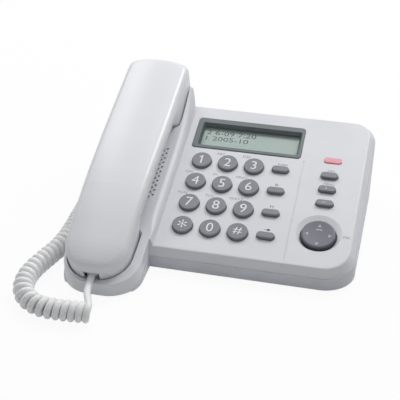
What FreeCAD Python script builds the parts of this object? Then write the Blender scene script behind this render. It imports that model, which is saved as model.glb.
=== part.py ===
import FreeCAD, Part
import bisect
import math
import os

os.makedirs("parts", exist_ok=True)

Vector = FreeCAD.Vector

# Overall size and stance of the base, millimetres and degrees
base_width = 192.5
base_depth = 186.0
foot_height = 1.5
wall = 2.2
deck_tilt = 16.4
deck_x = 5.85
deck_y = -6.4
deck_z = 31.1

# Key deck outline, measured on the deck from the centre of the key grid
deck_left = -43.6
deck_front = -50.1
deck_back = 85.0
deck_front_radius = 17.0
deck_back_radius = 12.0
deck_edge_radius = 1.6
round_end_share = 0.499
side_taper = 1.8
skirt_drop = 6.0
skirt_flare = 3.5
seam_ledge = 0.7

# Cradle at the left of the deck
cradle_front_reach = 29.0
cradle_taper = 3.6
cradle_front_right_radius = 21.0
cradle_front_left_radius = 22.0
cradle_back_right_radius = 26.0
cradle_back_left_radius = 5.0
cradle_lean = 20.0
ridge_round = 7.0
ridge_round_front = -50.0
ridge_round_full = -26.0
ridge_round_least = 0.3
ridge_round_share = 0.9
ridge_round_steps = (6, 1, 10, 3)
ledge_rise = 5.0
ridge_start = 33.0
ridge_radius = 225.0
ridge_end = 92.0
ridge_back_drop = 16.0
cheek = 2.4
well_gap = 0.8

# Handset, lying along the deck slope
handset_front_margin = 5.4
handset_overhang = 3.6
handset_half_width = 23.2
handset_taper_start = 30.0
handset_taper = 0.0175
handset_edge = 21.3
handset_arch_start = 0.0
handset_arch_radius = 370.0
handset_shoulder = 5.5
handset_lower_round = 5.0
handset_round_share = 0.6
handset_side_share = 0.45
handset_end_steps = 9
handset_crown_slope = 16.0
handset_wall = 2.0
handset_front_plan_radius = 20.0
handset_back_plan_radius = 11.0
handset_front_top_radius = 4.0
handset_back_top_radius = 8.0
handset_bottom_radius = 3.0
mouth_length = 34.5
mouth_rise = 16.0
mouth_bottom_front = 0.3
mouth_bottom_rear = -4.0
mouth_half_width = 20.8
grip_bottom = 9.0
grip_half_width = 19.8
ear_length = 42.5
ear_rise = 12.0
ear_lead = 6.0
ear_bottom = -3.0
ear_half_width = 23.7
parting_gap = 0.25

# Pieces inside the handset
receiver_from_back = 21.5
receiver_radius = 17.0
receiver_height = 9.0
ear_hole_ring = 7.0
ear_hole_count = 6
ear_hole_radius = 1.1
mic_from_front = 25.5
mic_radius = 4.8
mic_height = 6.0
mic_cup_wall = 1.2
mic_cup_height = 3.0
ballast_length = 58.0
ballast_width = 15.0
ballast_height = 5.0
handset_screw_inset = 9.0
handset_screw_length = 8.0
handset_boss_radius = 3.2
handset_jack_shift = 0.4
handset_jack_h = 7.0
handset_slot_width = 10.4
handset_slot_height = 7.0
handset_plug_recess = 2.1
handset_slot_depth = 2.0

# Keys
key_pitch_x = 18.8
key_pitch_y = 20.05
dial_key_diameter = 13.9
oval_length = 12.0
oval_width = 5.2
key_height = 2.4
key_edge_radius = 0.7
key_gap = 0.35
key_flange = 1.3
key_flange_thickness = 0.8
key_travel = 1.4
key_seat = 0.05
side_key_u = 62.6
side_key_rows = (29.6, 16.9, 4.1)

# Four-way navigator key
nav_u = 62.3
nav_v = -23.3
nav_diameter = 22.8
nav_height = 2.0
nav_tilt = 3.0
nav_gap = 1.0
nav_edge_radius = 1.0
nav_dish_radius = 100.0
nav_dish_depth = 0.5
nav_halo = 3.0
nav_halo_shift = 2.1
nav_halo_depth = 1.5
nav_rest_gap = 0.35
pivot_radius = 4.0

# Board and mat under the deck
dome_gap = 0.25
dome_height = 0.3
dome_radius = 3.0
oval_dome_radius = 2.0
mat_thickness = 1.2
mat_inset = 1.0
mat_reach = 10.0
mat_hole_gap = 0.6
board_thickness = 1.6
board_left = -36.5
board_right = 73.5
board_front = -43.5
board_back = 40.5
board_lamp_back = 51.0
board_lamp_left = 46.0

# Display
frame_left = -38.9
frame_right = 40.1
frame_bottom = 43.3
frame_top = 73.6
frame_rise = 0.6
frame_depth = 1.2
frame_radius = 2.5
frame_edge_radius = 0.5
frame_gap = 0.2
sleeve_wall = 1.0
window_left = -33.6
window_right = 36.6
window_bottom = 47.4
window_top = 67.6
window_radius = 1.0
window_slope = 1.4
lens_gap = 0.2
lens_thickness = 1.2
lcd_thickness = 2.0
lcd_margin = 2.0
holder_wall = 1.6

# Ringer lamp
lamp_u = 63.1
lamp_v = 44.9
lamp_length = 12.2
lamp_width = 5.0
lamp_corner = 1.6
lamp_rise = 0.8
lamp_edge_radius = 0.4
lamp_flange = 1.0
led_radius = 1.5
led_gap = 0.3

# Groove across the deck beside the key grid
groove_u = 42.7
groove_back = 41.5
groove_front = -48.2
groove_width = 0.7
groove_depth = 0.5

# Loudspeaker and its holes in the bridge of the cradle
hole_pitch = 4.4
hole_diameter = 1.7
hole_rows = 11
hole_columns = 20
speaker_v = 11.5
speaker_diameter = 40.0
speaker_rim = 3.0
basket_depth = 5.0
basket_radius = 10.0
magnet_depth = 4.0
cone_radius = 16.0
cone_tip_radius = 6.5
cone_depth = 6.0
cone_thickness = 0.8

# Hook switch
hook_from_ear = 9.5
hook_length = 9.0
hook_width = 6.0
hook_corner = 1.0
hook_gap = 0.4
hook_travel = 4.0
hook_rest_gap = 0.3
hook_flange = 1.2
hook_flange_thickness = 1.2
hook_body_length = 16.0
hook_body_width = 9.0
hook_body_height = 9.0

# Jacks and plugs
base_jack_from_back = 24.5
base_jack_z = 8.6
base_plug_recess = 8.0
line_jack_x = 25.0
line_jack_z = 12.0
plug_width = 7.6
plug_height = 6.4
plug_length = 11.0
plug_gap = 0.15
jack_wall = 1.6
line_plug_width = 11.8
line_plug_height = 6.8
line_plug_depth = 10.0

# Battery bay in the floor
bay_x = 46.0
bay_y = 36.0
bay_side_gap = 1.0
bay_end_gap = 1.6
bay_wall = 1.6
cell_radius = 7.2
cell_length = 50.4
cell_count = 3
cell_gap = 0.1
cell_lift = 0.2
contact_thickness = 0.6
contact_height = 11.0
contact_margin = 1.0
contact_button_radius = 2.5
door_gap = 0.5

# Fasteners and feet
boss_radius = 3.4
board_post_radius = 2.4
screw_radius = 1.3
screw_head_radius = 2.6
screw_head_height = 1.2
thread_gap = 0.05
case_screw_length = 9.0
case_screw_side = 12.0
case_screw_end = 20.0
case_screw_left = 2.5
board_screw_length = 3.4
board_screw_u = 46.5
board_screw_front = -38.0
board_screw_back = 33.0
foot_radius = 5.5
foot_side = 16.0
foot_end = 12.0
foot_front = 27.0

# Curly cord: wire, coil and hand-laid routes
wire_diameter = 3.4
coil_radius = 5.3
coil_turns = 44.5
coil_mark_step = 1.0
coil_blend = 6
coil_checks = 24
route_arc_share = 0.45
lead_end_run = 8.0
stub_length = 3.8
coil_route = (
    Vector(-64.0, -118.8, 7.2),
    Vector(-80.0, -120.6, 7.2),
    Vector(-96.0, -120.0, 7.2),
    Vector(-108.5, -112.0, 7.2),
    Vector(-114.0, -98.0, 7.2),
    Vector(-113.0, -84.5, 7.2),
    Vector(-108.5, -70.5, 7.2),
    Vector(-103.0, -56.0, 7.2),
    Vector(-101.2, -40.0, 7.2),
    Vector(-101.6, -15.8, 7.2),
    Vector(-102.5, 10.2, 7.2),
    Vector(-103.2, 31.2, 8.6),
    Vector(-103.7, 48.2, 11.6),
    Vector(-103.6, 64.2, 13.8),
)


def deck_placement():
    """Placement of the deck frame: u right, v up the slope, h off the deck."""
    return FreeCAD.Placement(Vector(deck_x, deck_y, deck_z), FreeCAD.Rotation(Vector(1, 0, 0), deck_tilt))


def on_deck(shape):
    """Carry a shape built in the deck frame into the frame of the object."""
    moved = shape.copy()
    moved.Placement = deck_placement().multiply(moved.Placement)
    return moved


def deck_point(u, v, h):
    """Point of the object frame for a point of the deck frame."""
    return deck_placement().multVec(Vector(u, v, h))


def rounded_wire(corners, z):
    """Closed flat wire through corners given as (x, y, radius)."""
    count = len(corners)
    parts = []
    for i in range(count):
        x, y, radius = corners[i]
        here = Vector(x, y, z)
        before = Vector(corners[i - 1][0], corners[i - 1][1], z)
        after = Vector(corners[(i + 1) % count][0], corners[(i + 1) % count][1], z)
        to_before = (before - here).normalize()
        to_after = (after - here).normalize()
        if radius > 0:
            half = to_before.getAngle(to_after) / 2
            reach = radius / math.tan(half)
            middle = here + (to_before + to_after).normalize() * (radius / math.sin(half) - radius)
            parts.append((here + to_before * reach, middle, here + to_after * reach))
        else:
            parts.append((here, None, here))
    edges = []
    for i in range(count):
        start, middle, stop = parts[i]
        if middle is not None:
            edges.append(Part.Arc(start, middle, stop).toShape())
        following = parts[(i + 1) % count][0]
        if (following - stop).Length > 1e-6:
            edges.append(Part.LineSegment(stop, following).toShape())
    return Part.Wire(edges)


def prism(corners, z_low, z_high):
    """Upright solid on a rounded outline."""
    return Part.Face(rounded_wire(corners, z_low)).extrude(Vector(0, 0, z_high - z_low))


def box_corners(x_low, x_high, y_low, y_high, radius):
    """Corners of a rounded rectangle."""
    spots = ((x_low, y_low), (x_high, y_low), (x_high, y_high), (x_low, y_high))
    return [(x, y, radius) for x, y in spots]


def block(x_low, x_high, y_low, y_high, z_low, z_high):
    """Plain box between limits."""
    return Part.makeBox(x_high - x_low, y_high - y_low, z_high - z_low, Vector(x_low, y_low, z_low))


def post(x, y, radius, z_low, z_high):
    """Upright cylinder between heights."""
    return Part.makeCylinder(radius, z_high - z_low, Vector(x, y, z_low))


def stadium(u, v, length, width, h_low, h_high):
    """Upright solid with round ends, long along u."""
    radius = width * round_end_share
    corners = box_corners(u - length / 2, u + length / 2, v - width / 2, v + width / 2, radius)
    return prism(corners, h_low, h_high)


def top_edges(shape, h):
    """Edges of a shape that lie in the plane at height h."""
    found = []
    for edge in shape.Edges:
        box = edge.BoundBox
        if abs(box.ZMin - h) < 1e-4 and abs(box.ZMax - h) < 1e-4:
            found.append(edge)
    return found


def side_profile(points_and_arcs, u_low, u_high):
    """Solid between two u planes on a closed outline of (v, h) edges."""
    wire = Part.Wire(points_and_arcs)
    return Part.Face(wire).extrude(Vector(u_high - u_low, 0, 0))


def line(a, b, u):
    """Straight edge in a plane of constant u."""
    return Part.LineSegment(Vector(u, a[0], a[1]), Vector(u, b[0], b[1])).toShape()


def arc(a, b, c, u):
    """Arc edge through three (v, h) points in a plane of constant u."""
    return Part.Arc(Vector(u, a[0], a[1]), Vector(u, b[0], b[1]), Vector(u, c[0], c[1])).toShape()


def ease(v, start, stop):
    """Smooth step from 0 at start to 1 at stop."""
    t = min(1.0, max(0.0, (v - start) / (stop - start)))
    return t * t * (3 - 2 * t)


# Base outlines
lean = math.radians(cradle_lean)
cos_tilt = math.cos(math.radians(deck_tilt))
sin_tilt = math.sin(math.radians(deck_tilt))
deck_right_back = base_width / 2 - seam_ledge - skirt_flare - deck_x
deck_right_front = deck_right_back - side_taper
hidden_left = -62.0
tall = 120.0
far = 300.0
front_y = -(base_depth + handset_overhang) / 2
back_y = front_y + base_depth
handset_x = -base_width / 2 + seam_ledge + cheek + well_gap + ear_half_width
handset_u = handset_x - deck_x
handset_front = (front_y + handset_front_margin - deck_y) / cos_tilt
handset_back = (back_y + handset_overhang - deck_y) / cos_tilt
mouth_rear = handset_front + mouth_length
grip_front = mouth_rear + mouth_rise
ear_floor_start = handset_back - ear_length
ear_front = ear_floor_start - ear_rise
body_front_y = deck_y + (deck_front - skirt_flare) * cos_tilt + skirt_drop * sin_tilt - seam_ledge
body_back_y = deck_y + (deck_back + skirt_flare) * cos_tilt + skirt_drop * sin_tilt + seam_ledge


def deck_outline(grow):
    """Corners of the deck outline, grown outward."""
    return [
        (hidden_left, deck_front - grow, 0.0),
        (deck_right_front + grow, deck_front - grow, deck_front_radius + grow),
        (deck_right_back + grow, deck_back + grow, deck_back_radius + grow),
        (hidden_left, deck_back + grow, 0.0),
    ]


def deck_slab(inset, depth):
    """Deck with its flared skirt, in the deck frame, drawn in by inset."""
    upper = rounded_wire(deck_outline(-inset), -inset)
    lower = rounded_wire(deck_outline(skirt_flare - inset), -depth)
    slab = Part.makeLoft([upper, lower], True, True)
    if inset == 0:
        slab = slab.makeFillet(deck_edge_radius, top_edges(slab, 0.0))
    return slab


def below_seam():
    """Half space under the seam between the cabinets."""
    return on_deck(block(-far, far, -far, far, -far, -skirt_drop))


def deck_body(inset):
    """Upright walls under the deck, drawn in by inset."""
    right_back = base_width / 2 - inset
    right_front = right_back - side_taper
    radius_front = deck_front_radius + skirt_flare + seam_ledge - inset
    radius_back = deck_back_radius + skirt_flare + seam_ledge - inset
    corners = [
        (hidden_left, body_front_y + inset, 0.0),
        (right_front, body_front_y + inset, radius_front),
        (right_back, body_back_y - inset, radius_back),
        (hidden_left, body_back_y - inset, 0.0),
    ]
    return prism(corners, foot_height + inset, tall).common(below_seam())


def cradle_left(y, inset):
    """Left side of the cradle, a little further in at the front."""
    return -base_width / 2 + cradle_taper * (back_y - y) / base_depth + inset


def cradle_plan(inset, ledge):
    """Cradle block from above: a round front and a wider rear part."""
    margin = ledge + inset
    front = front_y + margin
    back = back_y - margin
    right = handset_x + cradle_front_reach - margin
    joint_y = 0.0
    front_part = prism([
        (cradle_left(front, margin), front, cradle_front_left_radius - inset),
        (right, front, cradle_front_right_radius - inset),
        (right, joint_y, 0.0),
        (cradle_left(joint_y, margin), joint_y, 0.0),
    ], foot_height + inset, tall)
    rear_right = deck_x + deck_left - inset
    rear_start = deck_y + deck_front * cos_tilt + inset
    rear_part = prism([
        (cradle_left(rear_start, margin), rear_start, 0.0),
        (rear_right, rear_start, 0.0),
        (rear_right, back, cradle_back_right_radius - inset),
        (cradle_left(back, margin), back, cradle_back_left_radius - inset),
    ], foot_height + inset, tall)
    return front_part, rear_part


def ridge_height(v):
    """Height of the cradle's ledge over the deck plane: flat, then rising to a crest, then falling."""
    if v <= ridge_start:
        return ledge_rise
    rise = ridge_radius - math.sqrt(ridge_radius ** 2 - (min(v, ridge_end) - ridge_start) ** 2)
    return ledge_rise + rise - max(0.0, v - ridge_end)


def ridge_solid(inset):
    """Everything under the cradle's ledge line, in the deck frame."""
    middle_v = (ridge_start + ridge_end) / 2
    back_v = ridge_end + ridge_back_drop
    start = (-far, ledge_rise - inset)
    bend = (ridge_start, ledge_rise - inset)
    middle = (middle_v, ridge_height(middle_v) - inset)
    crest = (ridge_end, ridge_height(ridge_end) - inset)
    back = (back_v, ridge_height(back_v) - inset)
    edges = [
        line(start, bend, -far),
        arc(bend, middle, crest, -far),
        line(crest, back, -far),
        line(back, (back_v, -far), -far),
        line((back_v, -far), (-far, -far), -far),
        line((-far, -far), start, -far),
    ]
    return side_profile(edges, -far, far)


def lean_cut(inset):
    """Space to the right of the cradle's leaning wall, in the deck frame."""
    foot = deck_left - inset
    corners = [
        Vector(foot, -far, 0.0),
        Vector(foot - tall * math.tan(lean), -far, tall),
        Vector(far, -far, tall),
        Vector(far, -far, 0.0),
    ]
    return Part.Face(Part.makePolygon(corners + corners[:1])).extrude(Vector(0, 2 * far, 0))


def rounding_section(v, inset):
    """Outline over the rounded edge of the cradle's ledge at one place along it."""
    size = ridge_round * ease(v, ridge_round_front, ridge_round_full) - inset
    radius = max(size, ridge_round_least)
    half = (math.pi / 2 + lean) / 2
    reach = radius / math.tan(half)
    top = ridge_height(v) - inset
    edge = Vector(deck_left - inset - top * math.tan(lean), v, top)
    on_top = edge + Vector(-reach, 0, 0)
    on_wall = edge + Vector(math.sin(lean), 0, -math.cos(lean)) * reach
    sag = ridge_round_share * (radius / math.sin(half) - radius)
    middle = edge + Vector(-math.sin(half), 0, -math.cos(half)) * sag
    outer = [
        on_top,
        on_top + Vector(0, 0, ridge_round),
        Vector(on_wall.x + ridge_round, v, top + ridge_round),
        on_wall + Vector(ridge_round, 0, 0),
        on_wall,
    ]
    edges = [Part.Arc(on_wall, middle, on_top).toShape()]
    for i in range(len(outer) - 1):
        edges.append(Part.LineSegment(outer[i], outer[i + 1]).toShape())
    return Part.Wire(edges)


def ridge_rounding(inset):
    """Space over the rounded edge between the cradle's ledge and its leaning wall, in the deck frame."""
    stops = (ridge_round_front, ridge_round_full, ridge_start, ridge_end, ridge_end + ridge_back_drop)
    stations = [stops[0]]
    for stop, count in zip(stops[1:], ridge_round_steps):
        start = stations[-1]
        stations += [start + (stop - start) * (i + 1) / count for i in range(count)]
    return Part.makeLoft([rounding_section(v, inset) for v in stations], True, True)


def cradle_solid(inset, ledge):
    """Cradle block under its ledge line with the leaning right wall."""
    front_part, rear_part = cradle_plan(inset, ledge)
    rear_part = rear_part.cut(on_deck(lean_cut(inset)))
    solid = front_part.fuse(rear_part).removeSplitter()
    return solid.common(on_deck(ridge_solid(inset))).cut(on_deck(ridge_rounding(inset)))


# Handset form
crown_slope = math.radians(handset_crown_slope)


def edge_height(v):
    """Height of the handset's shoulder line, which droops to the front."""
    if v >= handset_arch_start:
        return handset_edge
    drop = handset_arch_radius - math.sqrt(handset_arch_radius ** 2 - (v - handset_arch_start) ** 2)
    return handset_edge - drop


def bottom_height(v):
    """Height of the handset's underside."""
    slope = (mouth_bottom_rear - mouth_bottom_front) / (mouth_rear - handset_front)
    mouth = mouth_bottom_front + slope * (min(v, mouth_rear) - handset_front)
    to_grip = ease(v, mouth_rear, grip_front)
    to_ear = ease(v, ear_front, ear_floor_start)
    height = mouth + (grip_bottom - mouth) * to_grip
    return height + (ear_bottom - grip_bottom) * to_ear


def bottom_half_width(v):
    """Half width of the handset at its underside."""
    to_grip = ease(v, mouth_rear, grip_front)
    to_ear = ease(v, ear_front - ear_lead, ear_floor_start)
    width = mouth_half_width + (grip_half_width - mouth_half_width) * to_grip
    return width + (ear_half_width - grip_half_width) * to_ear


def round_off(distance, radius):
    """How far a rounded end falls short of full size, distance from the end."""
    if distance >= radius:
        return 0.0
    return radius - math.sqrt(max(0.0, radius ** 2 - (radius - distance) ** 2))


def shoulder_half_width(v):
    """Half width of the handset at its shoulders, a little less to the front."""
    return handset_half_width - handset_taper * max(0.0, handset_taper_start - v)


def end_trim(v, grow):
    """Plan, top and bottom trims of a section near the ends."""
    from_front = v - (handset_front - grow)
    from_back = handset_back + grow - v
    plan = round_off(from_front, handset_front_plan_radius + grow)
    plan = plan + round_off(from_back, handset_back_plan_radius + grow)
    top = round_off(from_front, handset_front_top_radius + grow)
    top = top + round_off(from_back, handset_back_top_radius + grow)
    bottom = round_off(from_front, handset_bottom_radius + grow)
    bottom = bottom + round_off(from_back, handset_bottom_radius + grow)
    return plan, top, bottom


def handset_section(v, grow, upright):
    """One closed cross-section of the handset, eight edges."""
    plan, top, bottom = end_trim(v, grow)
    wide = shoulder_half_width(v) + grow - plan
    narrow = bottom_half_width(v) + grow - plan
    if upright:
        wide = max(wide, narrow)
        narrow = wide
    low = bottom_height(v) - grow + bottom
    shoulder_line = edge_height(v) - top
    round_top = min(handset_shoulder + grow, handset_round_share * wide)
    side = handset_side_share * (shoulder_line - low)
    round_low = min(handset_lower_round + grow, handset_round_share * narrow, side)
    lift = math.sin(crown_slope) * round_top
    top_u = wide - round_top + lift
    top_h = shoulder_line + math.cos(crown_slope) * round_top
    apex = top_h + top_u * math.tan(crown_slope / 2)
    mid_slope = (math.pi / 2 - crown_slope) / 2
    arc_u = wide - round_top + round_top * math.cos(mid_slope)
    arc_h = shoulder_line + round_top * math.sin(mid_slope)
    low_h = low + round_low
    low_u = narrow + (wide - narrow) * round_low / (shoulder_line - low)
    flat_u = narrow - round_low
    corner_u = flat_u + (low_u - flat_u) * math.sin(math.pi / 4)
    corner_h = low_h - round_low * math.sin(math.pi / 4)

    def at(u, h):
        return Vector(handset_u + u, v, h)

    edges = [
        Part.LineSegment(at(-flat_u, low), at(flat_u, low)).toShape(),
        Part.Arc(at(flat_u, low), at(corner_u, corner_h), at(low_u, low_h)).toShape(),
        Part.LineSegment(at(low_u, low_h), at(wide, shoulder_line)).toShape(),
        Part.Arc(at(wide, shoulder_line), at(arc_u, arc_h), at(top_u, top_h)).toShape(),
        Part.Arc(at(top_u, top_h), at(0, apex), at(-top_u, top_h)).toShape(),
        Part.Arc(at(-top_u, top_h), at(-arc_u, arc_h), at(-wide, shoulder_line)).toShape(),
        Part.LineSegment(at(-wide, shoulder_line), at(-low_u, low_h)).toShape(),
        Part.Arc(at(-low_u, low_h), at(-corner_u, corner_h), at(-flat_u, low)).toShape(),
    ]
    return Part.Wire(edges)


def handset_stations(grow):
    """Where the cross-sections stand along the handset."""
    first = handset_front - grow
    last = handset_back + grow
    front = handset_front_plan_radius + grow
    back = handset_back_plan_radius + grow
    steps = handset_end_steps
    stations = []
    for i in range(steps + 1):
        stations.append(first + front * (1 - math.cos(math.pi / 2 * i / steps)))
    stops = [mouth_rear, grip_front, handset_arch_start, ear_front, ear_floor_start, last - back]
    for stop, count in zip(stops, (2, 4, 3, 4, 4, 3)):
        start = stations[-1]
        stations += [start + (stop - start) * (i + 1) / count for i in range(count)]
    for i in range(1, steps + 1):
        stations.append(last - back * (1 - math.cos(math.pi / 2 * (steps - i) / steps)))
    return stations


def handset_solid(grow, upright):
    """Closed form of the handset, grown outward, in the deck frame."""
    sections = [handset_section(v, grow, upright) for v in handset_stations(grow)]
    return Part.makeLoft(sections, True, True)


# Cabinets
floor_top = foot_height + wall
mat_top = wall + key_seat + key_flange_thickness + key_travel + dome_gap + dome_height
board_top = mat_top + mat_thickness
board_low = board_top + board_thickness
lens_top = wall + lens_gap
lcd_top = lens_top + lens_thickness
holder_floor = lcd_top + lcd_thickness
roof_under = ledge_rise - wall
hook_v = ear_front - hook_from_ear
hook_body_top = roof_under - hook_travel - hook_flange_thickness - 2 * hook_rest_gap
base_jack_y = back_y - base_jack_from_back
base_jack_half = plug_width / 2 + jack_wall
base_jack_rise = plug_height / 2 + jack_wall
base_jack_depth = base_plug_recess + plug_length + jack_wall
line_jack_half = line_plug_width / 2 + jack_wall
line_jack_rise = line_plug_height / 2 + jack_wall
line_jack_depth = line_plug_depth + jack_wall
bay_half_x = cell_count * cell_radius + bay_side_gap
bay_half_y = cell_length / 2 + bay_end_gap
bay_left = bay_x - bay_half_x
bay_right = bay_x + bay_half_x
bay_front = bay_y - bay_half_y
bay_back = bay_y + bay_half_y
bay_roof = floor_top + cell_lift + 2 * cell_radius + bay_side_gap
cell_z = floor_top + cell_lift + cell_radius
cell_spots = [bay_x + (i - (cell_count - 1) / 2) * (2 * cell_radius + cell_gap) for i in range(cell_count)]
case_right_x = base_width / 2 - case_screw_side
case_left_x = deck_x + deck_left + case_screw_left
case_screw_spots = [
    (case_right_x, body_front_y + case_screw_end),
    (case_right_x, body_back_y - case_screw_end),
    (case_left_x, body_front_y + case_screw_end),
    (case_left_x, body_back_y - case_screw_end),
]
board_screw_spots = [
    (-key_pitch_x, key_pitch_y),
    (key_pitch_x, key_pitch_y),
    (-key_pitch_x, -key_pitch_y),
    (key_pitch_x, -key_pitch_y),
    (board_screw_u, board_screw_front),
    (board_screw_u, board_screw_back),
]
foot_x = base_width / 2 - foot_side
foot_spots = [
    (-foot_x, front_y + foot_front),
    (foot_x, body_front_y + foot_end),
    (foot_x, body_back_y - foot_end),
    (-foot_x, back_y - foot_end),
]


def well_space(grow):
    """Space that the handset needs in the cradle, open to above."""
    return on_deck(handset_solid(grow, True))


def inner_volume():
    """Hollow of the closed base."""
    slab = on_deck(deck_slab(wall, skirt_drop + wall))
    return slab.fuse(deck_body(wall)).fuse(cradle_solid(wall, seam_ledge))


def dial_key_spots():
    """Names and deck positions of the twelve round keys."""
    names = ("1", "2", "3", "4", "5", "6", "7", "8", "9", "star", "0", "hash")
    spots = []
    for i in range(len(names)):
        column = i % 3
        row = i // 3
        spots.append((names[i], (column - 1.5) * key_pitch_x, (1.5 - row) * key_pitch_y))
    return spots


def function_key_spots():
    """Deck positions of the oval keys in the fourth column."""
    return [(1.5 * key_pitch_x, (1.5 - row) * key_pitch_y) for row in range(4)]


def side_key_spots():
    """Deck positions of the oval keys at the right."""
    return [(side_key_u, v) for v in side_key_rows]


def frame_corners(grow):
    """Outline of the display frame, grown outward."""
    return box_corners(frame_left - grow, frame_right + grow, frame_bottom - grow, frame_top + grow,
                       frame_radius + grow)


def window_corners(grow):
    """Outline of the display window, grown outward."""
    return box_corners(window_left - grow, window_right + grow, window_bottom - grow, window_top + grow,
                       window_radius)


def lamp_column(grow, low, high):
    """Upright rounded rectangle at the ringer lamp, in the deck frame."""
    length = lamp_length / 2 + grow
    width = lamp_width / 2 + grow
    corners = box_corners(lamp_u - length, lamp_u + length, lamp_v - width, lamp_v + width, lamp_corner + grow)
    return prism(corners, low, high)


def nav_recess(hole):
    """Sloping recess round the navigator key's hole, wider at its back, in the deck frame."""
    up = Vector(0, 0, 1)
    floor = Part.Circle(Vector(nav_u, nav_v, -nav_halo_depth), up, hole)
    mouth = Part.Circle(Vector(nav_u, nav_v + nav_halo_shift, 0.0), up, hole + nav_halo)
    return Part.makeLoft([Part.Wire(ring.toShape()) for ring in (floor, mouth)], True, True)


def key_openings(low, high):
    """Holes of the keys, the lamp and the navigator key, in the deck frame."""
    cuts = []
    for name, u, v in dial_key_spots():
        cuts.append(post(u, v, dial_key_diameter / 2 + key_gap, low, high))
    for u, v in function_key_spots() + side_key_spots():
        cuts.append(stadium(u, v, oval_length + 2 * key_gap, oval_width + 2 * key_gap, low, high))
    cuts.append(lamp_column(frame_gap, low, high))
    hole = nav_diameter / 2 + nav_gap
    cuts.append(post(nav_u, nav_v, hole, low, high))
    cuts.append(nav_recess(hole))
    return cuts


def deck_openings():
    """Everything cut through the deck, in the deck frame."""
    low = -2 * wall
    high = 2 * wall
    cuts = key_openings(low, high)
    cuts.append(prism(frame_corners(frame_gap), -frame_depth, high))
    cuts.append(prism(window_corners(sleeve_wall + frame_gap), low, high))
    cuts.append(block(groove_u, groove_u + groove_width, groove_front, groove_back, -groove_depth, high))
    return cuts


def speaker_holes():
    """Staggered holes in the bridge of the cradle, in the deck frame."""
    holes = []
    first_u = handset_u + (hole_columns - 1) * hole_pitch / 4
    first_v = speaker_v + (hole_rows - 1) * hole_pitch / 2
    for column in range(hole_columns):
        u = first_u - column * hole_pitch / 2
        shift = (column % 2) * hole_pitch / 2
        for row in range(hole_rows):
            v = first_v - shift - row * hole_pitch
            holes.append(post(u, v, hole_diameter / 2, roof_under - wall, ledge_rise + wall))
    return Part.makeCompound(holes)


def hook_column(grow, low, high):
    """Upright rounded rectangle at the hook switch, in the deck frame."""
    length = hook_length / 2 + grow
    width = hook_width / 2 + grow
    corners = box_corners(handset_u - length, handset_u + length, hook_v - width, hook_v + width, hook_corner)
    return prism(corners, low, high)


def case_screw_shafts(gap, low):
    """Shafts of the case screws, grown by a gap, from a low level."""
    high = floor_top + case_screw_length
    return [post(x, y, screw_radius + gap, low, high) for x, y in case_screw_spots]


def board_screw_shafts(gap):
    """Shafts of the board screws, grown by a gap, in the deck frame."""
    high = board_screw_length - board_top
    return [post(u, v, screw_radius + gap, -board_low, high) for u, v in board_screw_spots]


def upper_cabinet(inner):
    """Deck and cradle shell with the two wells, holes and posts."""
    cradle = cradle_solid(0.0, seam_ledge).cut(below_seam())
    shell = on_deck(deck_slab(0.0, skirt_drop)).fuse(cradle).cut(inner)
    wells = well_space(well_gap + wall).common(inner)
    posts = [post(x, y, boss_radius, floor_top, tall).common(inner) for x, y in case_screw_spots]
    posts += [on_deck(post(u, v, board_post_radius, -board_top, -wall)) for u, v in board_screw_spots]
    shell = shell.fuse([wells] + posts).cut(well_space(well_gap))
    cuts = [on_deck(item) for item in deck_openings() + board_screw_shafts(thread_gap)]
    cuts.append(on_deck(hook_column(hook_gap, -wall, ledge_rise + wall)))
    cuts += case_screw_shafts(thread_gap, 0.0)
    return shell.cut(cuts).cut(on_deck(speaker_holes()))


def base_wall_x():
    """Inside of the left wall beside the handset-cord jack."""
    return cradle_left(base_jack_y - base_jack_half, seam_ledge + wall)


def base_plug_start():
    """Place of the plug's outer face inside the jack of the base."""
    return Vector(base_wall_x() + base_plug_recess, base_jack_y, base_jack_z)


def base_jack_space(gap):
    """Space of the cord and plug in the base, grown by a gap."""
    half_y = plug_width / 2 + gap
    half_z = plug_height / 2 + gap
    return block(-base_width, base_plug_start().x + plug_length, base_jack_y - half_y, base_jack_y + half_y,
                 base_jack_z - half_z, base_jack_z + half_z)


def line_jack_space(gap):
    """Space of a line plug in the back, grown by a gap."""
    half_x = line_plug_width / 2 + gap
    half_z = line_plug_height / 2 + gap
    return block(line_jack_x - half_x, line_jack_x + half_x, body_back_y - wall - line_plug_depth, base_depth,
                 line_jack_z - half_z, line_jack_z + half_z)


def base_jack_block(low, high):
    """Box of the handset-cord jack between two heights."""
    return block(base_wall_x(), base_wall_x() + base_jack_depth, base_jack_y - base_jack_half,
                 base_jack_y + base_jack_half, low, high)


def line_jack_block(low, high):
    """Box of the telephone line jack between two heights."""
    inside = body_back_y - wall
    return block(line_jack_x - line_jack_half, line_jack_x + line_jack_half, inside - line_jack_depth, inside,
                 low, high)


def hook_body_block(low, high):
    """Box of the hook switch between two heights, in the deck frame."""
    return block(handset_u - hook_body_length / 2, handset_u + hook_body_length / 2,
                 hook_v - hook_body_width / 2, hook_v + hook_body_width / 2, low, high)


def lower_supports(inner):
    """Stands on the floor under the jacks and the hook switch."""
    column = on_deck(hook_body_block(-tall, hook_body_top - hook_body_height)).common(inner)
    return [
        base_jack_block(foot_height, base_jack_z - base_jack_rise),
        line_jack_block(foot_height, line_jack_z - line_jack_rise),
        column,
    ]


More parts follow.
